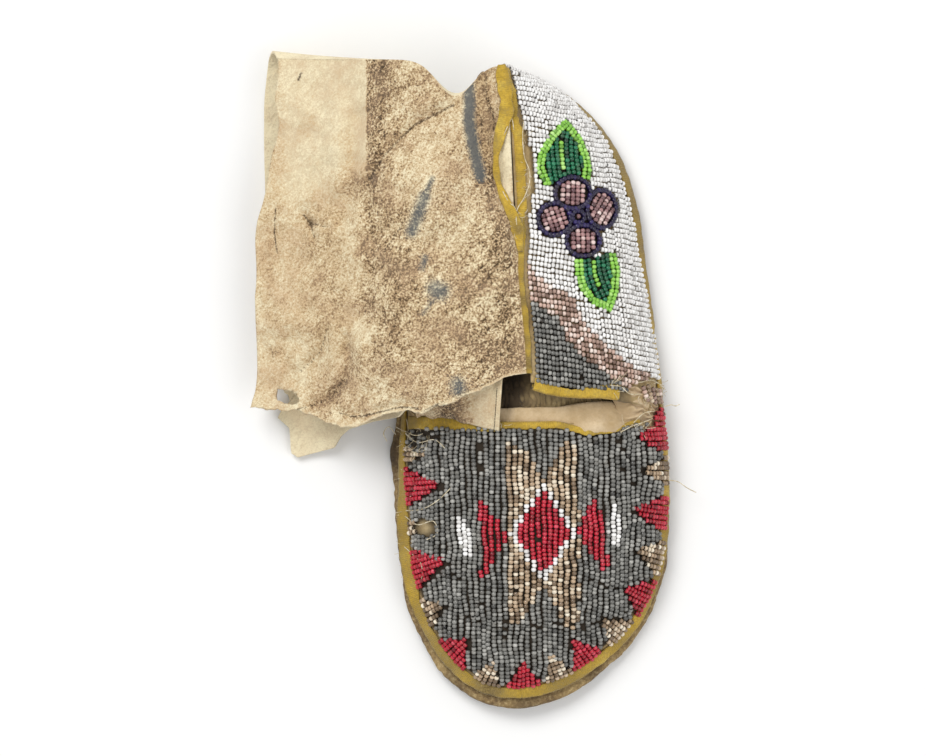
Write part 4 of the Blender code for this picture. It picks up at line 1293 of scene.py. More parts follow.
def build_cuff():
    """The cuff's sheet, from the upper layer's front round behind the heel to the lower layer's front.

    Creases raise and lower the upper layer, a table moves its free edge, and its front hem is ragged and
    turned up, with a painted highlight along it. Both layers are held above the floor, and the lower one
    swells a little where it lies.
    """
    across = np.concatenate([np.linspace(0, 0.9, 131), np.linspace(0.9, 1.0, 19)[1:]])
    front = QUARTER_MARGIN_SHARE - np.linspace(0, 1, 14) ** 1.5 * 0.03
    back = np.linspace(front[-1], FOLD_SHARE, 118)[1:]
    shares = np.concatenate([front, back, np.linspace(FOLD_SHARE, 0, 34)[1:]])
    from_front = (QUARTER_MARGIN_SHARE - shares)[:, None]
    off_heel = soft_step(0.0, 0.12, shares)[:, None]
    held = soft_step(0.0, 0.05, across)[None]

    upper = cuff_layer(LATERAL, shares, across)
    x, y = upper[..., 0], upper[..., 1]
    upper[..., 2] -= 1.3 * slit_share(x, y) * held
    upper[..., 2] += crumple(upper) * (0.35 + 0.65 * off_heel) * held
    ragged = 0.2 * ripple(x, y, 64, 6) + 0.14 * ripple(x, y, 65, 2.2)
    upper[..., 1] += ragged * bell(from_front, 0.01) * held
    moved = np.interp(y[:, -1], *np.transpose(FREE_EDGE_SHIFT))
    moved = eased(moved * soft_step(FOLD_SHARE, FOLD_SHARE + 0.05, shares), 4)
    moved = moved + 0.2 * ripple(y[:, -1], moved, 66, 24)
    upper[..., 0] += moved[:, None] * soft_step(0.7, 1.0, across)[None]
    upper[..., 1] += 1.7 * bell(x + 58, 13) * bell(from_front, 0.03) * held
    # The turned-up strip along the front hem: raised here, and given a painted highlight below
    rim = bell(from_front, 0.004) * soft_step(-78, -70, x)
    upper[..., 2] = np.maximum(upper[..., 2] + 0.5 * rim * held, 1.6)

    lower = cuff_layer(MEDIAL, shares, across)
    edge_y = lower[:, -1:, 1]
    aside = 8.0 * bell(edge_y + 1, 6.5) - 1.5 * bell(edge_y + 22, 6)
    lower[..., 0] += aside * soft_step(0.8, 1.0, across)[None]
    swell = 0.25 * np.clip(ripple(lower[..., 0], lower[..., 1], 67, 20) + 0.6, 0, None) * held * off_heel
    lower[..., 2] = np.maximum(lower[..., 2], CUFF_WALL + 0.1) + swell + 0.45 * held

    under = lower[::-1][1:]
    tints = [cuff_tints(upper, True), cuff_tints(under, False)]
    # Painted highlight: the turned hem of the upper layer is paler, with less wear and stain
    for key in ("worn", "stain"):
        tints[0][key] *= 1 - 0.8 * rim
    attributes = {key: [tint[key] for tint in tints] for key in tints[0]}
    thing = grid_piece("ankle_cuff", [(LATERAL, np.concatenate([upper, under]))], attributes)
    cut_hole(thing, upper.shape[0] * upper.shape[1])
    add_wall(dress(thing, DEERSKIN, "cuff_hide", "cuff"), CUFF_WALL)
    return thing, upper


# The strip of tape that has come away from the topline and lies on the cuff. Each row: -y, x, half width
SPLIT_TAPE = [
    (-118.5, -12.9, 1.6), (-114, -12.5, 2.4), (-110, -11.7, 2.7), (-105, -11.2, 2.6), (-101, -11.3, 2.6),
    (-97, -12.3, 2.7), (-94, -13.2, 2.3), (-90, -14.1, 1.8), (-86, -14.8, 1.4), (-82, -15, 1.2),
    (-78.5, -14.7, 1.2), (-75, -14, 1.3), (-70, -12.1, 1.5), (-66, -10.2, 1.8), (-62, -8.3, 2.3),
    (-58.5, -7.2, 2.3), (-55, -6.6, 1.6), (-50, -6, 0.9),
]


def drape(grid, plan, lift):
    """Lay plan points on a grid seen from above: each takes the height of its nearest point, plus `lift`."""
    flat = grid.reshape(-1, 3)
    return np.column_stack([plan, flat[closest(flat[:, :2], plan), 2] + lift])


def build_split_tape(under):
    """A ribbon along the table's line: its edges lift a little, and its surface is softly rumpled."""
    place = np.linspace(-118.5, -50, 150)
    line = smooth_through(SPLIT_TAPE, place)
    topline = QUARTER[LATERAL]["grid"][:, -16:].reshape(-1, 3) + (0, 0, 0.7)
    under = np.concatenate([under.reshape(-1, 3), topline])
    middle = drape(under, np.column_stack([line[:, 0], -place]), 0.0)
    middle[:, 2] = eased(middle[:, 2], 6)
    along = unit(np.gradient(middle, axis=0))
    across = unit(np.cross(along, (0.0, 0.0, 1.0)))
    v = np.linspace(-1, 1, 11)[None, :, None]
    wide = (line[:, 1] * (1 + 0.09 * ripple(place, 0.0, 44, 7)))[:, None, None]
    grid = middle[:, None] + across[:, None] * v * wide
    x, y = grid[..., 0], grid[..., 1]
    grid[..., 2] += 0.75 + 0.35 * v[..., 0] ** 4 + 0.16 * ripple(x, y, 45, 3.5)
    tint = np.clip(0.12 + 0.3 * ripple(x, y, 46, 10), 0, 1)
    thing = grid_piece("topline_split_tape", [(LATERAL, grid)], {"grime": [tint]}, [tape_uv(grid)])
    add_wall(dress(thing, TAPE, "yellow_tape"), 0.55)


# The cuff's turned corner over the throat: its upper edge, tucked under the cuff's front, and its lower edge
TAB_TOP = [(-46, -4), (-38, -2), (-31, 0), (-25, 3), (-19, 4.4), (-12.4, 5.6)]
TAB_BOTTOM = [(-44, -10.4), (-38, -10.9), (-31, -11.6), (-26, -12.6), (-20, -14.2), (-13.9, -15.4)]


def build_tab(under):
    """A flap between two edges: the upper one hangs from the cuff, the lower one lies on the throat's tape.

    Straight lines join them, with a belly towards the lateral end, whose own edge is rolled up. Painted shade
    lies in a line along the roll and darkens the flap where x is below -21, under the cuff's front edge.
    """
    u = np.linspace(0, 1, 150)[:, None]
    v = np.linspace(0, 1, 40)[None]
    share = np.linspace(0, 1, len(TAB_TOP))
    top, bottom = (read_columns(u[:, 0], share, table) for table in (TAB_TOP, TAB_BOTTOM))
    top = drape(under, top, -2.3)
    ahead, _, _ = on_vamp(np.column_stack([bottom[:, 0], np.full(150, -15.0)]))
    bottom = np.column_stack([bottom, ahead[:, 2] + 2.6])
    grid = top[:, None] * (1 - v[..., None]) + bottom[:, None] * v[..., None]
    x, y = grid[..., 0], grid[..., 1]
    belly = 0.9 * np.sin(math.pi * v) * soft_step(0.5, 0.8, u)
    grid[..., 2] += 1.0 * bell(1 - u, 0.05) - 0.8 * bell(0.9 - u, 0.03) + belly
    grid[..., 1] += 0.5 * ripple(x, y, 68, 7) * v * soft_step(0.7, 0.5, u)
    grid[..., 2] += 0.5 * ripple(x, y, 69, 5) * soft_step(0.7, 0.4, u)
    # Painted shade: darker where x is below -21, under the cuff's front edge, and a dark line along the roll
    tints = {
        "worn": [0.12 + 0.5 * soft_step(-21, -27, x)],
        "stain": [1.15 * soft_step(-25.5, -29.5, x + 1.2 * ripple(x, y, 72, 4)) * soft_step(-40, -33, x)],
        "paint": [np.zeros_like(x)],
        "crease": [1.1 * bell(0.945 - u, 0.009) * soft_step(0.1, 0.3, v)],
    }
    thing = grid_piece("cuff_turned_corner", [(MEDIAL, grid)], tints)
    return add_wall(dress(thing, DEERSKIN, "cuff_hide"), 1.0)


# ----------------------------
# The beads

BEAD_RADIUS = 0.93
BEAD_LENGTH = 1.46
# A bead's round has eight flat sides, coarser than the real curve, which is too fine to show
BEAD_SIDES = 8
# How far apart beads stand on a string, and strings in the vamp's columns, the quarters' lanes and the border
BEAD_PITCH = 1.55
COLUMN_PITCH = 2.12
ROW_PITCH = 1.9
BORDER_PITCH = 1.84
LANE_BEADS = 6
# How high a bead's middle and its top are over the hide
SEAT = 0.98
BEAD_TOP = 1.9
# A bead's own section: places along it, as shares of its length, and radii, as shares of its radius
BEAD_SECTION = [(-0.5, 0.48), (-0.32, 0.86), (0, 1), (0.32, 0.86), (0.5, 0.48)]
# How far each ring lies from the bead's ends; the glass reads it to paint shade at the ends
BEAD_BELLY = [0.0, 0.75, 1.0, 0.75, 0.0]

GLASS = {
    "grey": glass_bead("glass_grey_green", "#211f1d", "#7a7974", "#c2c0b9"),
    "red": glass_bead("glass_cranberry_red", "#4e0814", "#bd1a31", "#de4a5f"),
    "white": glass_bead("glass_chalk_white", "#b3b0ac", "#f6f4f1", "#fdfdfc"),
    "gold": glass_bead("glass_copper_lined", "#63503c", "#c2a88a", "#faf0da", 0.2),
    "pink": glass_bead("glass_rose_lined", "#6e5548", "#cfaf9f", "#faede3", 0.2),
    "mauve": glass_bead("glass_mauve_lined", "#55363c", "#b48a88", "#f0dbd4", 0.2),
    "navy": glass_bead("glass_navy_blue", "#070410", "#1b113b", "#372b6c"),
    "leaf": glass_bead("glass_leaf_green", "#04251a", "#0f6440", "#3b9d72"),
    "lime": glass_bead("glass_light_green", "#44791f", "#93d24e", "#cdf29c"),
}

# The vamp's border: triangles of strings that run in from the edge. Each has its colour, the plan point at
# the middle of its base, half its base along the edge, and its depth
BORDER = [
    ("red", (49, -17.2), 6.6, 10.8), ("gold", (49.5, -30.5), 5.6, 9.2), ("red", (49.5, -46.4), 7.4, 12),
    ("gold", (48, -63), 6.6, 9.4), ("red", (42.4, -78.4), 7.4, 9.4), ("gold", (35, -94), 6.6, 9.8),
    ("red", (21.5, -103.4), 7.4, 11.6), ("gold", (10, -110.2), 6.4, 10.6),
    ("red", (-4.4, -112.2), 7.9, 10.4), ("gold", (-18.9, -109.6), 6.4, 9), ("red", (-31, -98.6), 8.4, 9.4),
    ("gold", (-39.2, -83.2), 6.6, 8.4), ("red", (-44.6, -67.2), 8.2, 13.4), ("gold", (-46.5, -52), 3.6, 5.2),
    ("red", (-48, -36.6), 7.6, 13.4), ("gold", (-48.6, -24.6), 4, 7.6),
]

# The star in the middle of the vamp
DIAMOND = (2.5, -52.8)
DIAMOND_HALF = (10.4, 15.8)
DIAMOND_RIM = (12.7, 18.9)
WING_HALF_WIDTH = 13.4
WING_REACH = (31.5, 35.0)
NOTCH_FROM = 19.0
NOTCH_WIDTH = 7.4
VAMP_FIGURES = [
    ("red", [
        (-21.4, -40.4), (-17.8, -44), (-10.2, -54.4), (-14.6, -61), (-18.4, -69.4), (-20.6, -69.6),
        (-20.2, -56),
    ]),
    ("red", [
        (21.2, -40.4), (24.4, -47), (25, -56), (27.4, -65.6), (24.6, -66.8), (19.8, -60.8), (15.2, -52.8),
        (17.6, -46),
    ]),
    ("white", [(-30.6, -44.2), (-26, -49), (-23.2, -54.1), (-24.2, -62.2), (-26.4, -61.6), (-28.8, -53.5)]),
    ("white", [
        (28.8, -40.6), (31.4, -47.8), (31.9, -53.3), (31, -59), (29, -58.6), (26.6, -53.3), (27.4, -46.3),
    ]),
]

# Where the vamp's strings are drawn down and leave a dark furrow, and the corner where some are lost
FURROWS = [
    ([(-28, -84), (-18, -86.5), (-4, -88.6), (10, -86.6), (24, -87.4), (36, -82.6), (42, -80)], 0.8),
    ([(-36, -22), (-33, -30), (-35, -38)], 0.7), ([(-20, -16), (-21.5, -26), (-19, -34)], 0.7),
    ([(30, -18), (33, -26), (31.5, -34)], 0.6), ([(-8, -74), (-12, -80), (-11, -90), (-14, -98)], 0.7),
    ([(12, -72), (17, -80), (17.5, -90), (22, -97)], 0.7), ([(20, -70), (28, -74), (37, -70.5)], 0.7),
    ([(-30, -68), (-26, -76), (-20, -79)], 0.7), ([(-48, -16), (-41, -17.6), (-36, -16.8)], 0.9),
    ([(-2, -90), (2, -100)], 0.6),
]
FRAYED = [(-50, -13), (-38, -14), (-40, -19), (-46, -22), (-50, -22)]

# The quarters' pattern, on the lateral one's plan: the band's two edges, and the leaves and petals
BAND_UPPER = [(-5, 46.2), (2.7, 39.2), (12.8, 33.7), (17, 24), (26.3, 14.8), (33.9, 8.8), (48.2, 1.3)]
BAND_LOWER = [
    (-5, 34.6), (0.1, 30.8), (7.7, 25.7), (10.2, 18.1), (17, 11.4), (26.3, 4.6), (33, -0.4), (50, -8),
]
LEAVES = [
    ([
        (18.2, 77), (18.8, 81), (18, 85.6), (15.2, 92.2), (9.9, 98.4), (4.8, 93.2), (0.8, 86.6),
        (-0.4, 80.6), (3, 74.6),
    ], [(9.2, 80.4), (8.4, 86), (8.2, 90.9)]),
    ([
        (14, 47.6), (14.4, 42), (15.8, 37.2), (20, 31.8), (26.4, 28.9), (28.8, 36), (29.4, 43.6),
        (27.7, 50),
    ], [(20.2, 47.2), (20.6, 42.4), (22.2, 37.6)]),
]
# Each petal: centre, half sizes, and the heading of its strings
PETALS = [
    ((12.6, 71.9), (6.5, 5.8), 88),
    ((23.3, 66.2), (5.4, 7), 60),
    ((5.9, 62.2), (5.9, 5.9), 110),
    ((16.4, 54.4), (6.2, 5.8), 92),
]
PETAL_RING = ((14.6, 63.2), 2.2)

strings = {}


def keep_beads(panel, colours, centres, along, outward, size=1.0):
    """Put beads by for a panel, each with its colour, centre, string direction and outward direction.

    Those on the vamp's lateral side stand out 1.1 mm further, so that they hang over the seam's tape.
    """
    if panel == "vamp":
        x, y = centres[:, 0], centres[:, 1]
        out = 1.1 * soft_step(34, 44, x) * soft_step(-98, -78, y) * soft_step(-8, -20, y)
        centres = centres + outward * out[:, None]
    colours = np.broadcast_to(np.asarray(colours, dtype="<U8"), len(centres))
    size = np.broadcast_to(size, len(centres))
    for colour in np.unique(colours):
        chosen = colours == colour
        parts = (centres[chosen], along[chosen], outward[chosen], size[chosen])
        strings.setdefault((panel, str(colour)), []).append(parts)


def thread_beads(points, outward, pitch, first=None):
    """Beads along a polyline: equal steps of `pitch` along its length, with the string's direction there.

    The first bead is `first` steps from the start; without it the steps are eased so that they fill the line.
    """
    far = lengths_along(points)
    if first is None:
        first = 0.5
        pitch = far[-1] / max(1, round(far[-1] / pitch))
    places = np.arange(first * pitch, far[-1] - 0.3 * pitch, pitch)
    run = read_columns(places + 0.2, far, points) - read_columns(places - 0.2, far, points)
    return read_columns(places, far, points), unit(run), unit(read_columns(places, far, outward))


def make_beads(draw):
    """Each panel's beads of one colour as one mesh: the bead's section turned about its string, all at once.

    A point is the bead's centre, plus its place along the string, plus its radius round the string.
    """
    angle = 2 * math.pi * np.arange(BEAD_SIDES) / BEAD_SIDES
    section = np.array(BEAD_SECTION)
    rings = len(section)
    body = grid_quads(rings, BEAD_SIDES, closed=True)
    caps = np.stack([np.arange(BEAD_SIDES)[::-1], np.arange(BEAD_SIDES) + (rings - 1) * BEAD_SIDES])
    for (panel, colour), parts in sorted(strings.items()):
        centres, along, outward, size = (np.concatenate(column) for column in zip(*parts))
        count = len(centres)
        along = unit(along + draw.normal(0, 0.05, (count, 3)))
        sideways = unit(np.cross(along, outward))
        over = np.cross(sideways, along)
        centres = centres + draw.normal(0, 0.06, (count, 3))
        radius = BEAD_RADIUS * size * draw.normal(1, 0.035, count)
        length = BEAD_LENGTH * size * draw.normal(1, 0.05, count)
        round_string = sideways[:, None] * np.cos(angle)[:, None] + over[:, None] * np.sin(angle)[:, None]
        points = (
            centres[:, None, None]
            + along[:, None, None] * (section[None, :, None, None, 0] * length[:, None, None, None])
            + round_string[:, None] * (section[None, :, None, None, 1] * radius[:, None, None, None])
        )
        per_bead = rings * BEAD_SIDES
        first = np.arange(count)[:, None, None] * per_bead
        corners = np.concatenate([(body + first).ravel(), (caps + first).ravel()])
        sizes = [4] * (count * len(body)) + [BEAD_SIDES] * (2 * count)
        thing = build_mesh(f"{panel}_beads_{colour}", points.reshape(-1, 3), corners, sizes)
        tone = np.clip(draw.normal(0.5, 0.16, count), 0, 1)
        if colour in ("gold", "pink", "mauve"):
            tone = np.clip(draw.beta(1.1, 1.5, count), 0, 1)
        store(thing, "tone", np.repeat(tone, per_bead))
        store(thing, "belly", np.tile(np.repeat(BEAD_BELLY, BEAD_SIDES), count))
        dress(thing, GLASS[colour], "white_beads" if panel != "vamp" else "grey_beads", f"{panel}_beadwork")


def seam_boundary(y):
    """The x at which the vamp's lateral sections meet its medial ones."""
    ridge = np.array(VAMP_RIDGE)
    return np.interp(-y, np.concatenate([-ridge[:, 2], [119.3]]), np.concatenate([ridge[:, 1], [-5.0]]))


def on_vamp(plan):
    """Over each plan point: the vamp's face, its outward direction, and how far that is from the seam."""
    points = np.zeros((len(plan), 3))
    outward = np.zeros((len(plan), 3))
    far = np.zeros(len(plan))
    lateral = plan[:, 0] >= seam_boundary(plan[:, 1])
    for side, chosen in ((LATERAL, lateral), (MEDIAL, ~lateral)):
        u, v = locate(VAMP[side], plan[chosen])
        points[chosen] = sample(VAMP[side]["grid"], u, v)
        outward[chosen] = unit(sample(VAMP[side]["normals"], u, v))
        far[chosen] = v * whole_at(VAMP[side], u)
    return points, outward, far


def border_line():
    """The beads' outer edge round the vamp, from the lateral end of the throat by the toe to the medial end.

    With its points come each one's side, its place on that side's face, and how far along the line it is.
    """
    u = np.linspace(0, 1, 400)
    edges = [sample(face["grid"], u, (TAPE_WIDTH + 0.2) / whole_at(face, u)) for face in VAMP.values()]
    line = np.concatenate([edges[0], edges[1][::-1][1:]])
    side = np.repeat(SIDES, (len(u), len(u) - 1))
    return line, side, np.concatenate([u, u[::-1][1:]]), lengths_along(line)


def border_depths():
    """Each triangle's colour, its place along the border line, half its base and its depth."""
    line, _, _, far = border_line()
    return [
        (colour, far[np.argmin(np.hypot(line[:, 0] - x, line[:, 1] - y))], half, depth)
        for colour, (x, y), half, depth in BORDER
    ]


def depth_at(places):
    """Depths and colours of the border's strings at places along it; a triangle is deepest in its middle."""
    depth = np.zeros(len(places))
    colour = np.full(len(places), "grey", dtype="<U8")
    for name, middle, half, tall in border_depths():
        here = tall * np.clip(1 - np.abs(places - middle) / half, 0, 1)
        colour = np.where(here > depth, name, colour)
        depth = np.maximum(depth, here)
    return depth, colour


def vamp_colours(x, y):
    """The star's colours by plan place: the diamond in its rim, the notched wings, and the figures."""
    dx, dy = x - DIAMOND[0], y - DIAMOND[1]
    colours = np.full(len(x), "grey", dtype="<U8")
    away = np.abs(dy)
    reach = np.where(dy > 0, WING_REACH[0], WING_REACH[1]) + 1.6 * np.sin(dx * 2.3)
    notch = np.abs(dx) < NOTCH_WIDTH * np.clip((away - NOTCH_FROM) / 14.0, 0, None)
    wings = (np.abs(dx) < WING_HALF_WIDTH) & (away < reach) & ~notch
    colours[wings] = "gold"
    for colour, polygon in VAMP_FIGURES:
        colours[inside(x, y, polygon)] = colour
    for colour, (half_x, half_y) in (("white", DIAMOND_RIM), ("red", DIAMOND_HALF)):
        colours[np.abs(dx) / half_x + away / half_y < 1] = colour
    return colours


def bead_vamp(draw):
    """The vamp's strings: a border of short strings in from the edge, and lengthwise columns within it."""
    line, line_side, line_u, far = border_line()
    places = np.arange(1.2, far[-1] - 1.0, BORDER_PITCH)
    depth, colour = depth_at(places)
    for place, tall, name in zip(places, depth, colour):
        if tall < 1.0:
            continue
        k = np.searchsorted(far, place)
        face = VAMP[line_side[k]]
        lap = 1.7 * (line_side[k] == LATERAL) * soft_step(0.8, 0.5, line_u[k])
        out = TAPE_WIDTH + 0.9 - lap + BEAD_PITCH * np.arange(20) + 0.2 * draw.normal()
        u = np.full(20, line_u[k])
        whole = whole_at(face, u)
        here = sample(face["grid"], u, out / whole)
        count = int(np.sum(np.hypot(*(here[:, :2] - line[k, :2]).T) < tall))
        if not count:
            continue
        out, u, whole, here = out[:count], u[:count], whole[:count], here[:count]
        ahead = sample(face["grid"], u, (out + 0.4) / whole)
        away = unit(sample(face["normals"], u, out / whole))
        lost = np.hypot(here[:, 0] - KNOT[0], here[:, 1] - KNOT[1]) < 3.2
        rise = SEAT + 0.22 * np.sin(math.pi * (np.arange(count) + 0.5) / count)
        centres = here + away * rise[:, None]
        keep_beads("vamp", name, centres[~lost], unit(ahead - here)[~lost], away[~lost], 1.04)

    # Columns stand a bead's pitch apart along the vamp's section at its middle
    across = np.linspace(-50, 49, 800)
    along = lengths_along(on_vamp(np.column_stack([across, np.full(800, -50.0)]))[0])
    columns = np.interp(np.arange(0.6, along[-1], COLUMN_PITCH), along, across)
    y = np.linspace(-11.0, -118.0, 260)
    drift = np.cumsum(draw.normal(0, 0.35, len(columns)))
    for k, x in enumerate(columns):
        wave = 0.3 * ripple(x, y, 81, 17) + 0.1 * ripple(x, y, 82, 7) + 0.1 * np.sin(y / 6.1 + 3 * drift[k])
        lean = 0.012 * (y + 50) * np.sin(drift[k])
        inwards = np.clip((-y - 50) / 68, 0, None) ** 2 * (x + 4) * -0.1
        plan = np.column_stack([x + wave + lean + inwards, y])
        face, outward, _ = on_vamp(plan)
        hump = 0.2 * np.abs(np.sin(y / 7.4 * math.pi + drift[k])) + 0.09 * draw.normal()
        seat = SEAT + hump - 0.9 * near(plan[:, 0], y, FURROWS)
        beads = thread_beads(face + outward * seat[:, None], outward, BEAD_PITCH, draw.uniform())
        at = beads[0][:, :2]
        at_x, at_y = at.T
        _, _, out = on_vamp(at)
        nearest = 2 * closest(line[::2, :2], at)
        tall, _ = depth_at(far[nearest])
        reach = np.hypot(*(at - line[nearest, :2]).T)
        stay = (out > TAPE_WIDTH + 0.9) & (reach > np.where(tall > 1.0, tall - 0.3, 0))
        stay &= at_y < THROAT_Y - 2.9 + 1.3 * soft_step(16, 30, at_x) - throat_lap(at_x)
        stay &= np.hypot(at_x - KNOT[0], at_y - KNOT[1]) > 3.4
        lost = 0.004 + 0.45 * inside(at_x, at_y, FRAYED) + 0.5 * near(at_x, at_y, FURROWS) ** 3
        stay &= draw.uniform(size=len(at)) > lost
        keep_beads("vamp", vamp_colours(at_x, at_y)[stay], *(part[stay] for part in beads), 1.06)


def quarter_colours(x, y):
    """The quarter's ground by plan place: grey beyond the band, the band, and white behind it."""
    upper = np.interp(x, *np.transpose(BAND_UPPER))
    lower = np.interp(x, *np.transpose(BAND_LOWER))
    return np.where(y > upper, "white", np.where(y > lower, "pink", "grey"))


def flower_cover(x, y):
    """Where the leaves and petals lie, with room for their outlines' beads."""
    cover = np.zeros(np.shape(x), dtype=bool)
    for outline, _ in LEAVES:
        cover |= inside(x, y, outline) | (path_distance(x, y, outline) < 0.75)
    for centre, (rx, ry), _ in PETALS:
        cover |= oval(x, y, centre, (rx + 0.95, ry + 0.95)) < 1
    centre, radius = PETAL_RING
    return cover | (oval(x, y, centre, (1, 1)) < radius + 2.8)


def flower_paths():
    """Every string of the flower as (colour, plan points): outlines, veins, rings and the fills between.

    A petal is filled by straight strings along its heading, and a leaf by strings that follow its vein.
    """
    turn = np.linspace(0, 2 * math.pi, 60)
    circle = np.column_stack([np.cos(turn), np.sin(turn)])
    paths = []
    for centre, (rx, ry), heading in PETALS:
        paths.append(("navy", centre + circle * (rx, ry)))
        angle = math.radians(heading)
        run = np.array([math.cos(angle), math.sin(angle)])
        side = np.array([-run[1], run[0]])
        for shift in np.arange(-3, 4) * 1.8:
            points = centre + side * shift + run * np.linspace(-9, 9, 150)[:, None]
            within = oval(*points.T, centre, (rx - 1.0, ry - 1.2)) < 1
            if within.sum() > 18:
                paths.append(("mauve", points[within]))
    centre, radius = PETAL_RING
    paths.append(("navy", centre + circle * radius))
    paths.append(("mauve", centre + np.array([(-0.8, 0.0), (0.8, 0.0)])))
    for outline, vein in LEAVES:
        closed = np.array(outline)
        middle = (closed.max(axis=0) + closed.min(axis=0)) / 2
        half = (closed.max(axis=0) - closed.min(axis=0)) / 2
        inner = middle + (closed - middle) * (1 - 1.75 / half)
        inner[[0, -1], 1] = closed[[0, -1], 1]
        paths += [("lime", closed), ("lime", inner), ("lime", np.array(vein))]
        inner = inner.tolist()
        base, tip = closed[[0, -1]].mean(axis=0), closed[len(closed) // 2]
        run = unit(tip - base)
        side = np.array([-run[1], run[0]])
        rib = np.array([base - 4 * run, *vein, tip])
        far = lengths_along(rib)
        rib = read_columns(np.linspace(0, far[-1], 260), far, rib)
        for shift in np.arange(-4, 5) * 1.75:
            points = rib + side * shift
            x, y = points.T
            within = inside(x, y, inner) & (path_distance(x, y, inner) > 0.8)
            within &= path_distance(x, y, vein) > 1.0
            for centre, (rx, ry), _ in PETALS:
                within &= oval(x, y, centre, (rx + 1.0, ry + 1.0)) > 1
            for part in np.split(np.arange(len(rib)), np.flatnonzero(np.diff(within.astype(int))) + 1):
                if within[part[0]] and len(part) > 12:
                    paths.append(("leaf", points[part]))
    return paths


def bead_quarter(side, draw):
    """A quarter's beads: rows of six across lanes that follow the topline, and over them the flower."""
    face = QUARTER[side]
    guide = QUARTER[LATERAL]
    word = WORDS[side]
    lane_width = LANE_BEADS * BEAD_PITCH
    u_all = np.linspace(0.0, 1.0, 700)
    whole = whole_at(face, u_all)
    top_y = sample(face["grid"], u_all, np.ones(700))[:, 1]
    bare = 2.7 * soft_step(42, 58, top_y) - 1.3 * soft_step(99, 107, top_y)
    top = 1.5 + bare if side == LATERAL else np.full(700, 3.0)
    for lane in range(8):
        middle = top + lane_width * (lane + 0.5)
        held = middle < whole - 1.0
        if held.sum() < 20:
            break
        track = sample(face["grid"], u_all, 1 - middle / whole)
        far = lengths_along(track)
        bow = np.interp(track[0, 0], *np.transpose(FRONT_BOW)) if side == LATERAL else 0.0
        places = np.arange(3.1 - bow + 0.3 * draw.uniform(), far[-1] - 0.8, ROW_PITCH)
        u = np.interp(places, far, u_all)
        bead = np.arange(LANE_BEADS)
        out = np.interp(u, u_all, top)[:, None] + lane_width * lane + BEAD_PITCH * (bead + 0.5)[None]
        slant = draw.normal(0, 0.12, len(u))[:, None] * (bead - 2.5)[None] / 2.5
        step = np.gradient(u) / ROW_PITCH
        uu = u[:, None] + slant * step[:, None]
        length = np.interp(uu, u_all, whole)
        v = 1 - out / length
        here = sample(face["grid"], uu, v)
        ahead = sample(face["grid"], uu, v + 0.01)
        away = unit(sample(face["normals"], uu, v))
        hump = SEAT + 0.42 * np.sin(math.pi * (bead + 0.5) / LANE_BEADS)[None] * np.ones_like(v)
        centres = here + away * (hump + 0.04 * draw.normal(size=v.shape))[..., None]
        plan = sample(guide["grid"], uu, v)
        x, y = plan[..., 0], plan[..., 1]
        lap = 1.9 * (side == LATERAL) * soft_step(52, 38, y)
        stay = (length - out > TAPE_WIDTH + 0.7 - lap) & ~flower_cover(x, y)
        if side == LATERAL:
            stay &= ~inside(x, y, BARE_STRIP) & (oval(x, y, PUCKER, PUCKER_SIZE) > 1)
        stay &= draw.uniform(size=v.shape) > 0.003
        colours = quarter_colours(x, y)
        keep_beads(word, colours[stay], centres[stay], unit(ahead - here)[stay], away[stay])
    for colour, path in flower_paths():
        far = lengths_along(path)
        u, v = locate(guide, read_columns(np.linspace(0, far[-1], max(8, int(far[-1] / 0.3))), far, path))
        away = unit(sample(face["normals"], u, v))
        beads = thread_beads(sample(face["grid"], u, v) + away * (SEAT + 0.35), away, BEAD_PITCH)
        keep_beads(word, colour, *beads, 1.14 if colour == "navy" else 1.06)


# Short strings on the pucker: each one's ends, as distances up from the seam and shares of the way across
PUCKER_STRINGS = [
    ("pink", (19.5, 0), (16.5, 0.44)), ("gold", (16.8, -0.04), (14, 0.46)),
    ("pink", (13.8, 0), (11.8, 0.5)), ("gold", (11, -0.02), (9.2, 0.5)), ("pink", (8.2, 0), (7, 0.46)),
    ("red", (5.6, 0.94), (13.4, 0.92)), ("red", (5.6, 0.8), (11.6, 0.78)),
    ("red", (5.6, 0.66), (8.8, 0.66)),
]


def bead_pucker():
    """The loose ends of strings on the pucker, and the top rows of the vamp's first triangle."""
    share = np.linspace(0, 1, 40)
    for colour, first, last in PUCKER_STRINGS:
        points, outward = pucker_face(*read_columns(share, (0, 1), (first, last)).T)
        parts = thread_beads(points + outward * 2.0, outward, BEAD_PITCH)
        keep_beads("lateral" if colour != "red" else "vamp", colour, *parts, 1.06)


# ----------------------------
# Loose threads and frayed ends

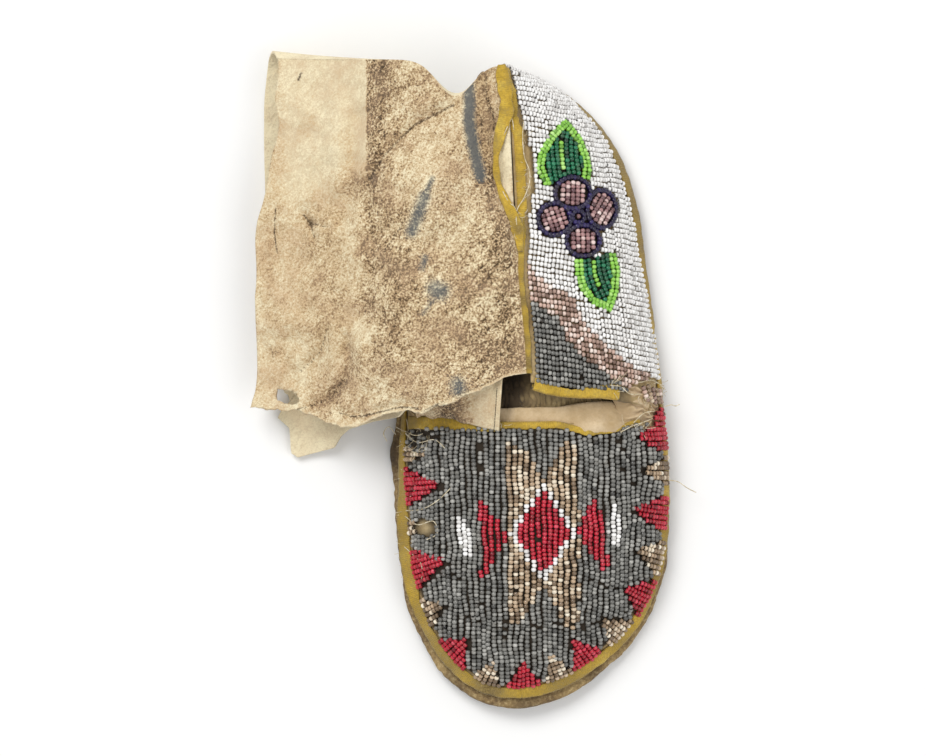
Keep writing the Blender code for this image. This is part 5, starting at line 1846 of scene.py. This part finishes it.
# Threads that lie on the beads and tapes, by plan points
LAID_THREADS = [
    [(-48.3, -45.5), (-42, -44.6), (-36, -41), (-31.4, -36.4)],
    [(-48.6, -47.5), (-44, -50.5), (-38, -49), (-36.6, -53.5), (-40.5, -56)],
    [(-50, -58), (-46, -61.5), (-42.6, -65), (-42.4, -70.5), (-44.6, -73)],
    [(-50.2, -30), (-46.4, -32.5), (-44.8, -37), (-47.6, -41.6)],
    [(-50, -15.5), (-44, -19.8), (-37.5, -18.8), (-33, -22.5)],
    [(-50.4, -19.5), (-45.6, -23.4), (-40, -22.4)],
    [(31, -16), (35.4, -13.8), (39.6, -12.4), (43.4, -11)],
    [(36, -12.5), (40, -9), (44.8, -8.4), (48.8, -9.6)],
    [(-4.8, 98), (-5.2, 92), (-4.6, 85), (-2.8, 80), (-2.7, 75.5), (-4.6, 70), (-7.2, 65.6), (-7.6, 61)],
    [(-12.4, 92), (-10.6, 96), (-9.2, 98.6), (-8.4, 94.6)],
    [(-13.4, 74), (-10.4, 68.4), (-8, 66), (-7.4, 60)],
    [(27, 1.2), (31, 0.8), (34.4, -1.8), (38.6, -2)],
    [(33, 3.6), (38, 2.4), (43, 3.2), (48, 1)],
]
# Threads that hang free: plan points with their heights
FREE_THREADS = [
    [(49.6, -34, 14), (53, -34.6, 13.2), (56.6, -37, 10.6), (60, -38.7, 8)],
    [(48, -6.6, 15), (50.4, -6, 14), (52.2, -6.4, 12.8), (53.6, -5.8, 12)],
    [(-52, -17, 13), (-54.6, -14.2, 12), (-56.6, -16.6, 10), (-55.4, -19.6, 8.6)],
]
# Tufts of frayed ends: middle, how far they spread, how many, and how long
TUFTS = [
    ((-45, -19.5), (5, 3.5), 34, 4.2), ((44, -3), (4.5, 6), 40, 3.4), ((29.5, 0.5), (1.6, 2.6), 14, 3.2),
    ((-4, 80), (1, 17), 22, 2.4), ((-7, 60), (1.8, 5), 16, 2.6), ((-49, -52), (1.4, 22), 26, 2.8),
    ((34, -14), (6, 1.4), 18, 3), ((-14, -14), (2, 1.5), 6, 2.4),
]


def round_threads(name, lines, radius, sides):
    """One mesh of round threads: a circle carried along each line, all at once; `lines` is (n, steps, 3)."""
    count, steps = lines.shape[:2]
    along = unit(np.gradient(lines, axis=1))
    sideways = unit(np.cross(along, (0.0, 0.0, 1.0)) + 1e-6)
    over = np.cross(sideways, along)
    angle = 2 * math.pi * np.arange(sides) / sides
    ring = sideways[:, :, None] * np.cos(angle)[:, None] + over[:, :, None] * np.sin(angle)[:, None]
    points = lines[:, :, None] + ring * np.reshape(radius, (-1, 1, 1, 1))
    quads = grid_quads(steps, sides, flip=True, closed=True)
    caps = np.stack([np.arange(sides), np.arange(sides)[::-1] + (steps - 1) * sides])
    first = np.arange(count)[:, None, None] * steps * sides
    corners = np.concatenate([(quads[None] + first).ravel(), (caps[None] + first).ravel()])
    sizes = [4] * (count * len(quads)) + [sides] * (2 * count)
    thing = build_mesh(name, points.reshape(-1, 3), corners, sizes)
    thing.data.materials.append(THREAD)
    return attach(thing, "root")


def build_threads(under, draw):
    """Loose threads laid over the beads, and tufts of short bent ends where the work is frayed."""
    faces = (*VAMP.values(), *QUARTER.values())
    relief = [face["grid"][::2, ::2].reshape(-1, 3) + (0, 0, BEAD_TOP) for face in faces]
    relief = np.concatenate([*relief, under.reshape(-1, 3) + (0, 0, 0.9)])
    steps = np.linspace(0, 1, 36)
    lines = []
    for path in LAID_THREADS:
        table = np.column_stack([np.linspace(0, 1, len(path)), path])
        line = drape(relief, smooth_through(table, steps), 0.25)
        line[:, 2] = eased(line[:, 2], 3) + 0.5 * np.sin(math.pi * steps) ** 2 * np.sin(9 * steps) ** 2
        lines.append(line)
    for path in FREE_THREADS:
        table = np.column_stack([np.linspace(0, 1, len(path)), path])
        lines.append(smooth_through(table, steps))
    round_threads("loose_threads", np.stack(lines), np.full(len(lines), 0.17), 6)
    bases = []
    lengths = []
    for middle, spread, count, length in TUFTS:
        plan = np.array(middle) + draw.uniform(-1, 1, (count, 2)) * spread
        bases.append(drape(relief, plan, -0.2))
        lengths.append(length * draw.uniform(0.5, 1.3, count))
    base = np.concatenate(bases)
    length = np.concatenate(lengths)[:, None]
    heading = draw.uniform(0, 2 * math.pi, len(base))[:, None]
    bend = draw.normal(0, 1.1, len(base))[:, None]
    t = np.linspace(0, 1, 9)[None]
    turn = heading + bend * t
    rise = draw.uniform(0.15, 0.6, len(base))[:, None]
    step = np.stack([np.cos(turn), np.sin(turn), rise * (1 - 1.5 * t)], axis=-1) * length[..., None] / 8
    hairs = base[:, None] + np.cumsum(step, axis=1)
    round_threads("frayed_ends", hairs, draw.uniform(0.06, 0.11, len(base)), 4)


# ----------------------------
# The room: straight down on the shoe, as the pair was laid out, on a plain pale floor under soft light

CAMERA_AIM = (-27.0, 4.0, 20.0)
CAMERA_DISTANCE = 1600.0
VIEW_WIDTH = 343.0
# Each light: where it stands and how wide it is, in metres, and its watts
LIGHTS = {"key": ((-0.55, 0.75, 1.35), 0.8, 15.5), "fill": ((0.9, -0.5, 1.2), 1.2, 7.0)}
SKY_STRENGTH = 0.56
FLOOR_HALF = 3000.0


def set_room():
    """A long lens over the shoe, a key light behind it on its cuff's side, a fill light, and a pale floor."""
    scene = bpy.context.scene
    scene.view_settings.view_transform = "Standard"
    camera = bpy.data.objects.new("camera", bpy.data.cameras.new("camera"))
    camera.data.sensor_width = 36.0
    camera.data.lens = 36.0 * CAMERA_DISTANCE / VIEW_WIDTH
    camera.data.clip_end = 20.0
    camera.location = [c * MM for c in (CAMERA_AIM[0], CAMERA_AIM[1], CAMERA_AIM[2] + CAMERA_DISTANCE)]
    scene.collection.objects.link(camera)
    scene.camera = camera
    for name, (place, size, power) in LIGHTS.items():
        lamp = bpy.data.lights.new(name, "AREA")
        lamp.size = size
        lamp.energy = power
        thing = bpy.data.objects.new(name, lamp)
        thing.location = place
        back = np.array(place) - (CAMERA_AIM[0] * MM, CAMERA_AIM[1] * MM, 0.0)
        thing.rotation_euler = (0, math.acos(back[2] / np.linalg.norm(back)), math.atan2(back[1], back[0]))
        scene.collection.objects.link(thing)
    world = bpy.data.worlds.new("soft_light")
    world.use_nodes = True
    sky = world.node_tree.nodes["Background"].inputs
    sky["Color"].default_value = (1, 1, 1, 1)
    sky["Strength"].default_value = SKY_STRENGTH
    scene.world = world
    corners = np.array([(-1, -1, 0), (1, -1, 0), (1, 1, 0), (-1, 1, 0)]) * FLOOR_HALF
    floor = build_mesh("floor", corners, [0, 1, 2, 3], [4])
    material, _, _ = new_material("paper_floor", Roughness=0.9, Base_Color=linear("#f3f3f2"))
    floor.data.materials.append(material)


set_room()
build_sole()
build_hide()
build_sole_tape()
build_bindings()
build_tongue()
build_gusset()
cuff, cuff_upper = build_cuff()
tab = build_tab(cuff_upper)
build_split_tape(cuff_upper)
draw = np.random.default_rng(20)
bead_vamp(draw)
for side in SIDES:
    bead_quarter(side, draw)
bead_pucker()
make_beads(draw)
build_threads(cuff_upper, draw)
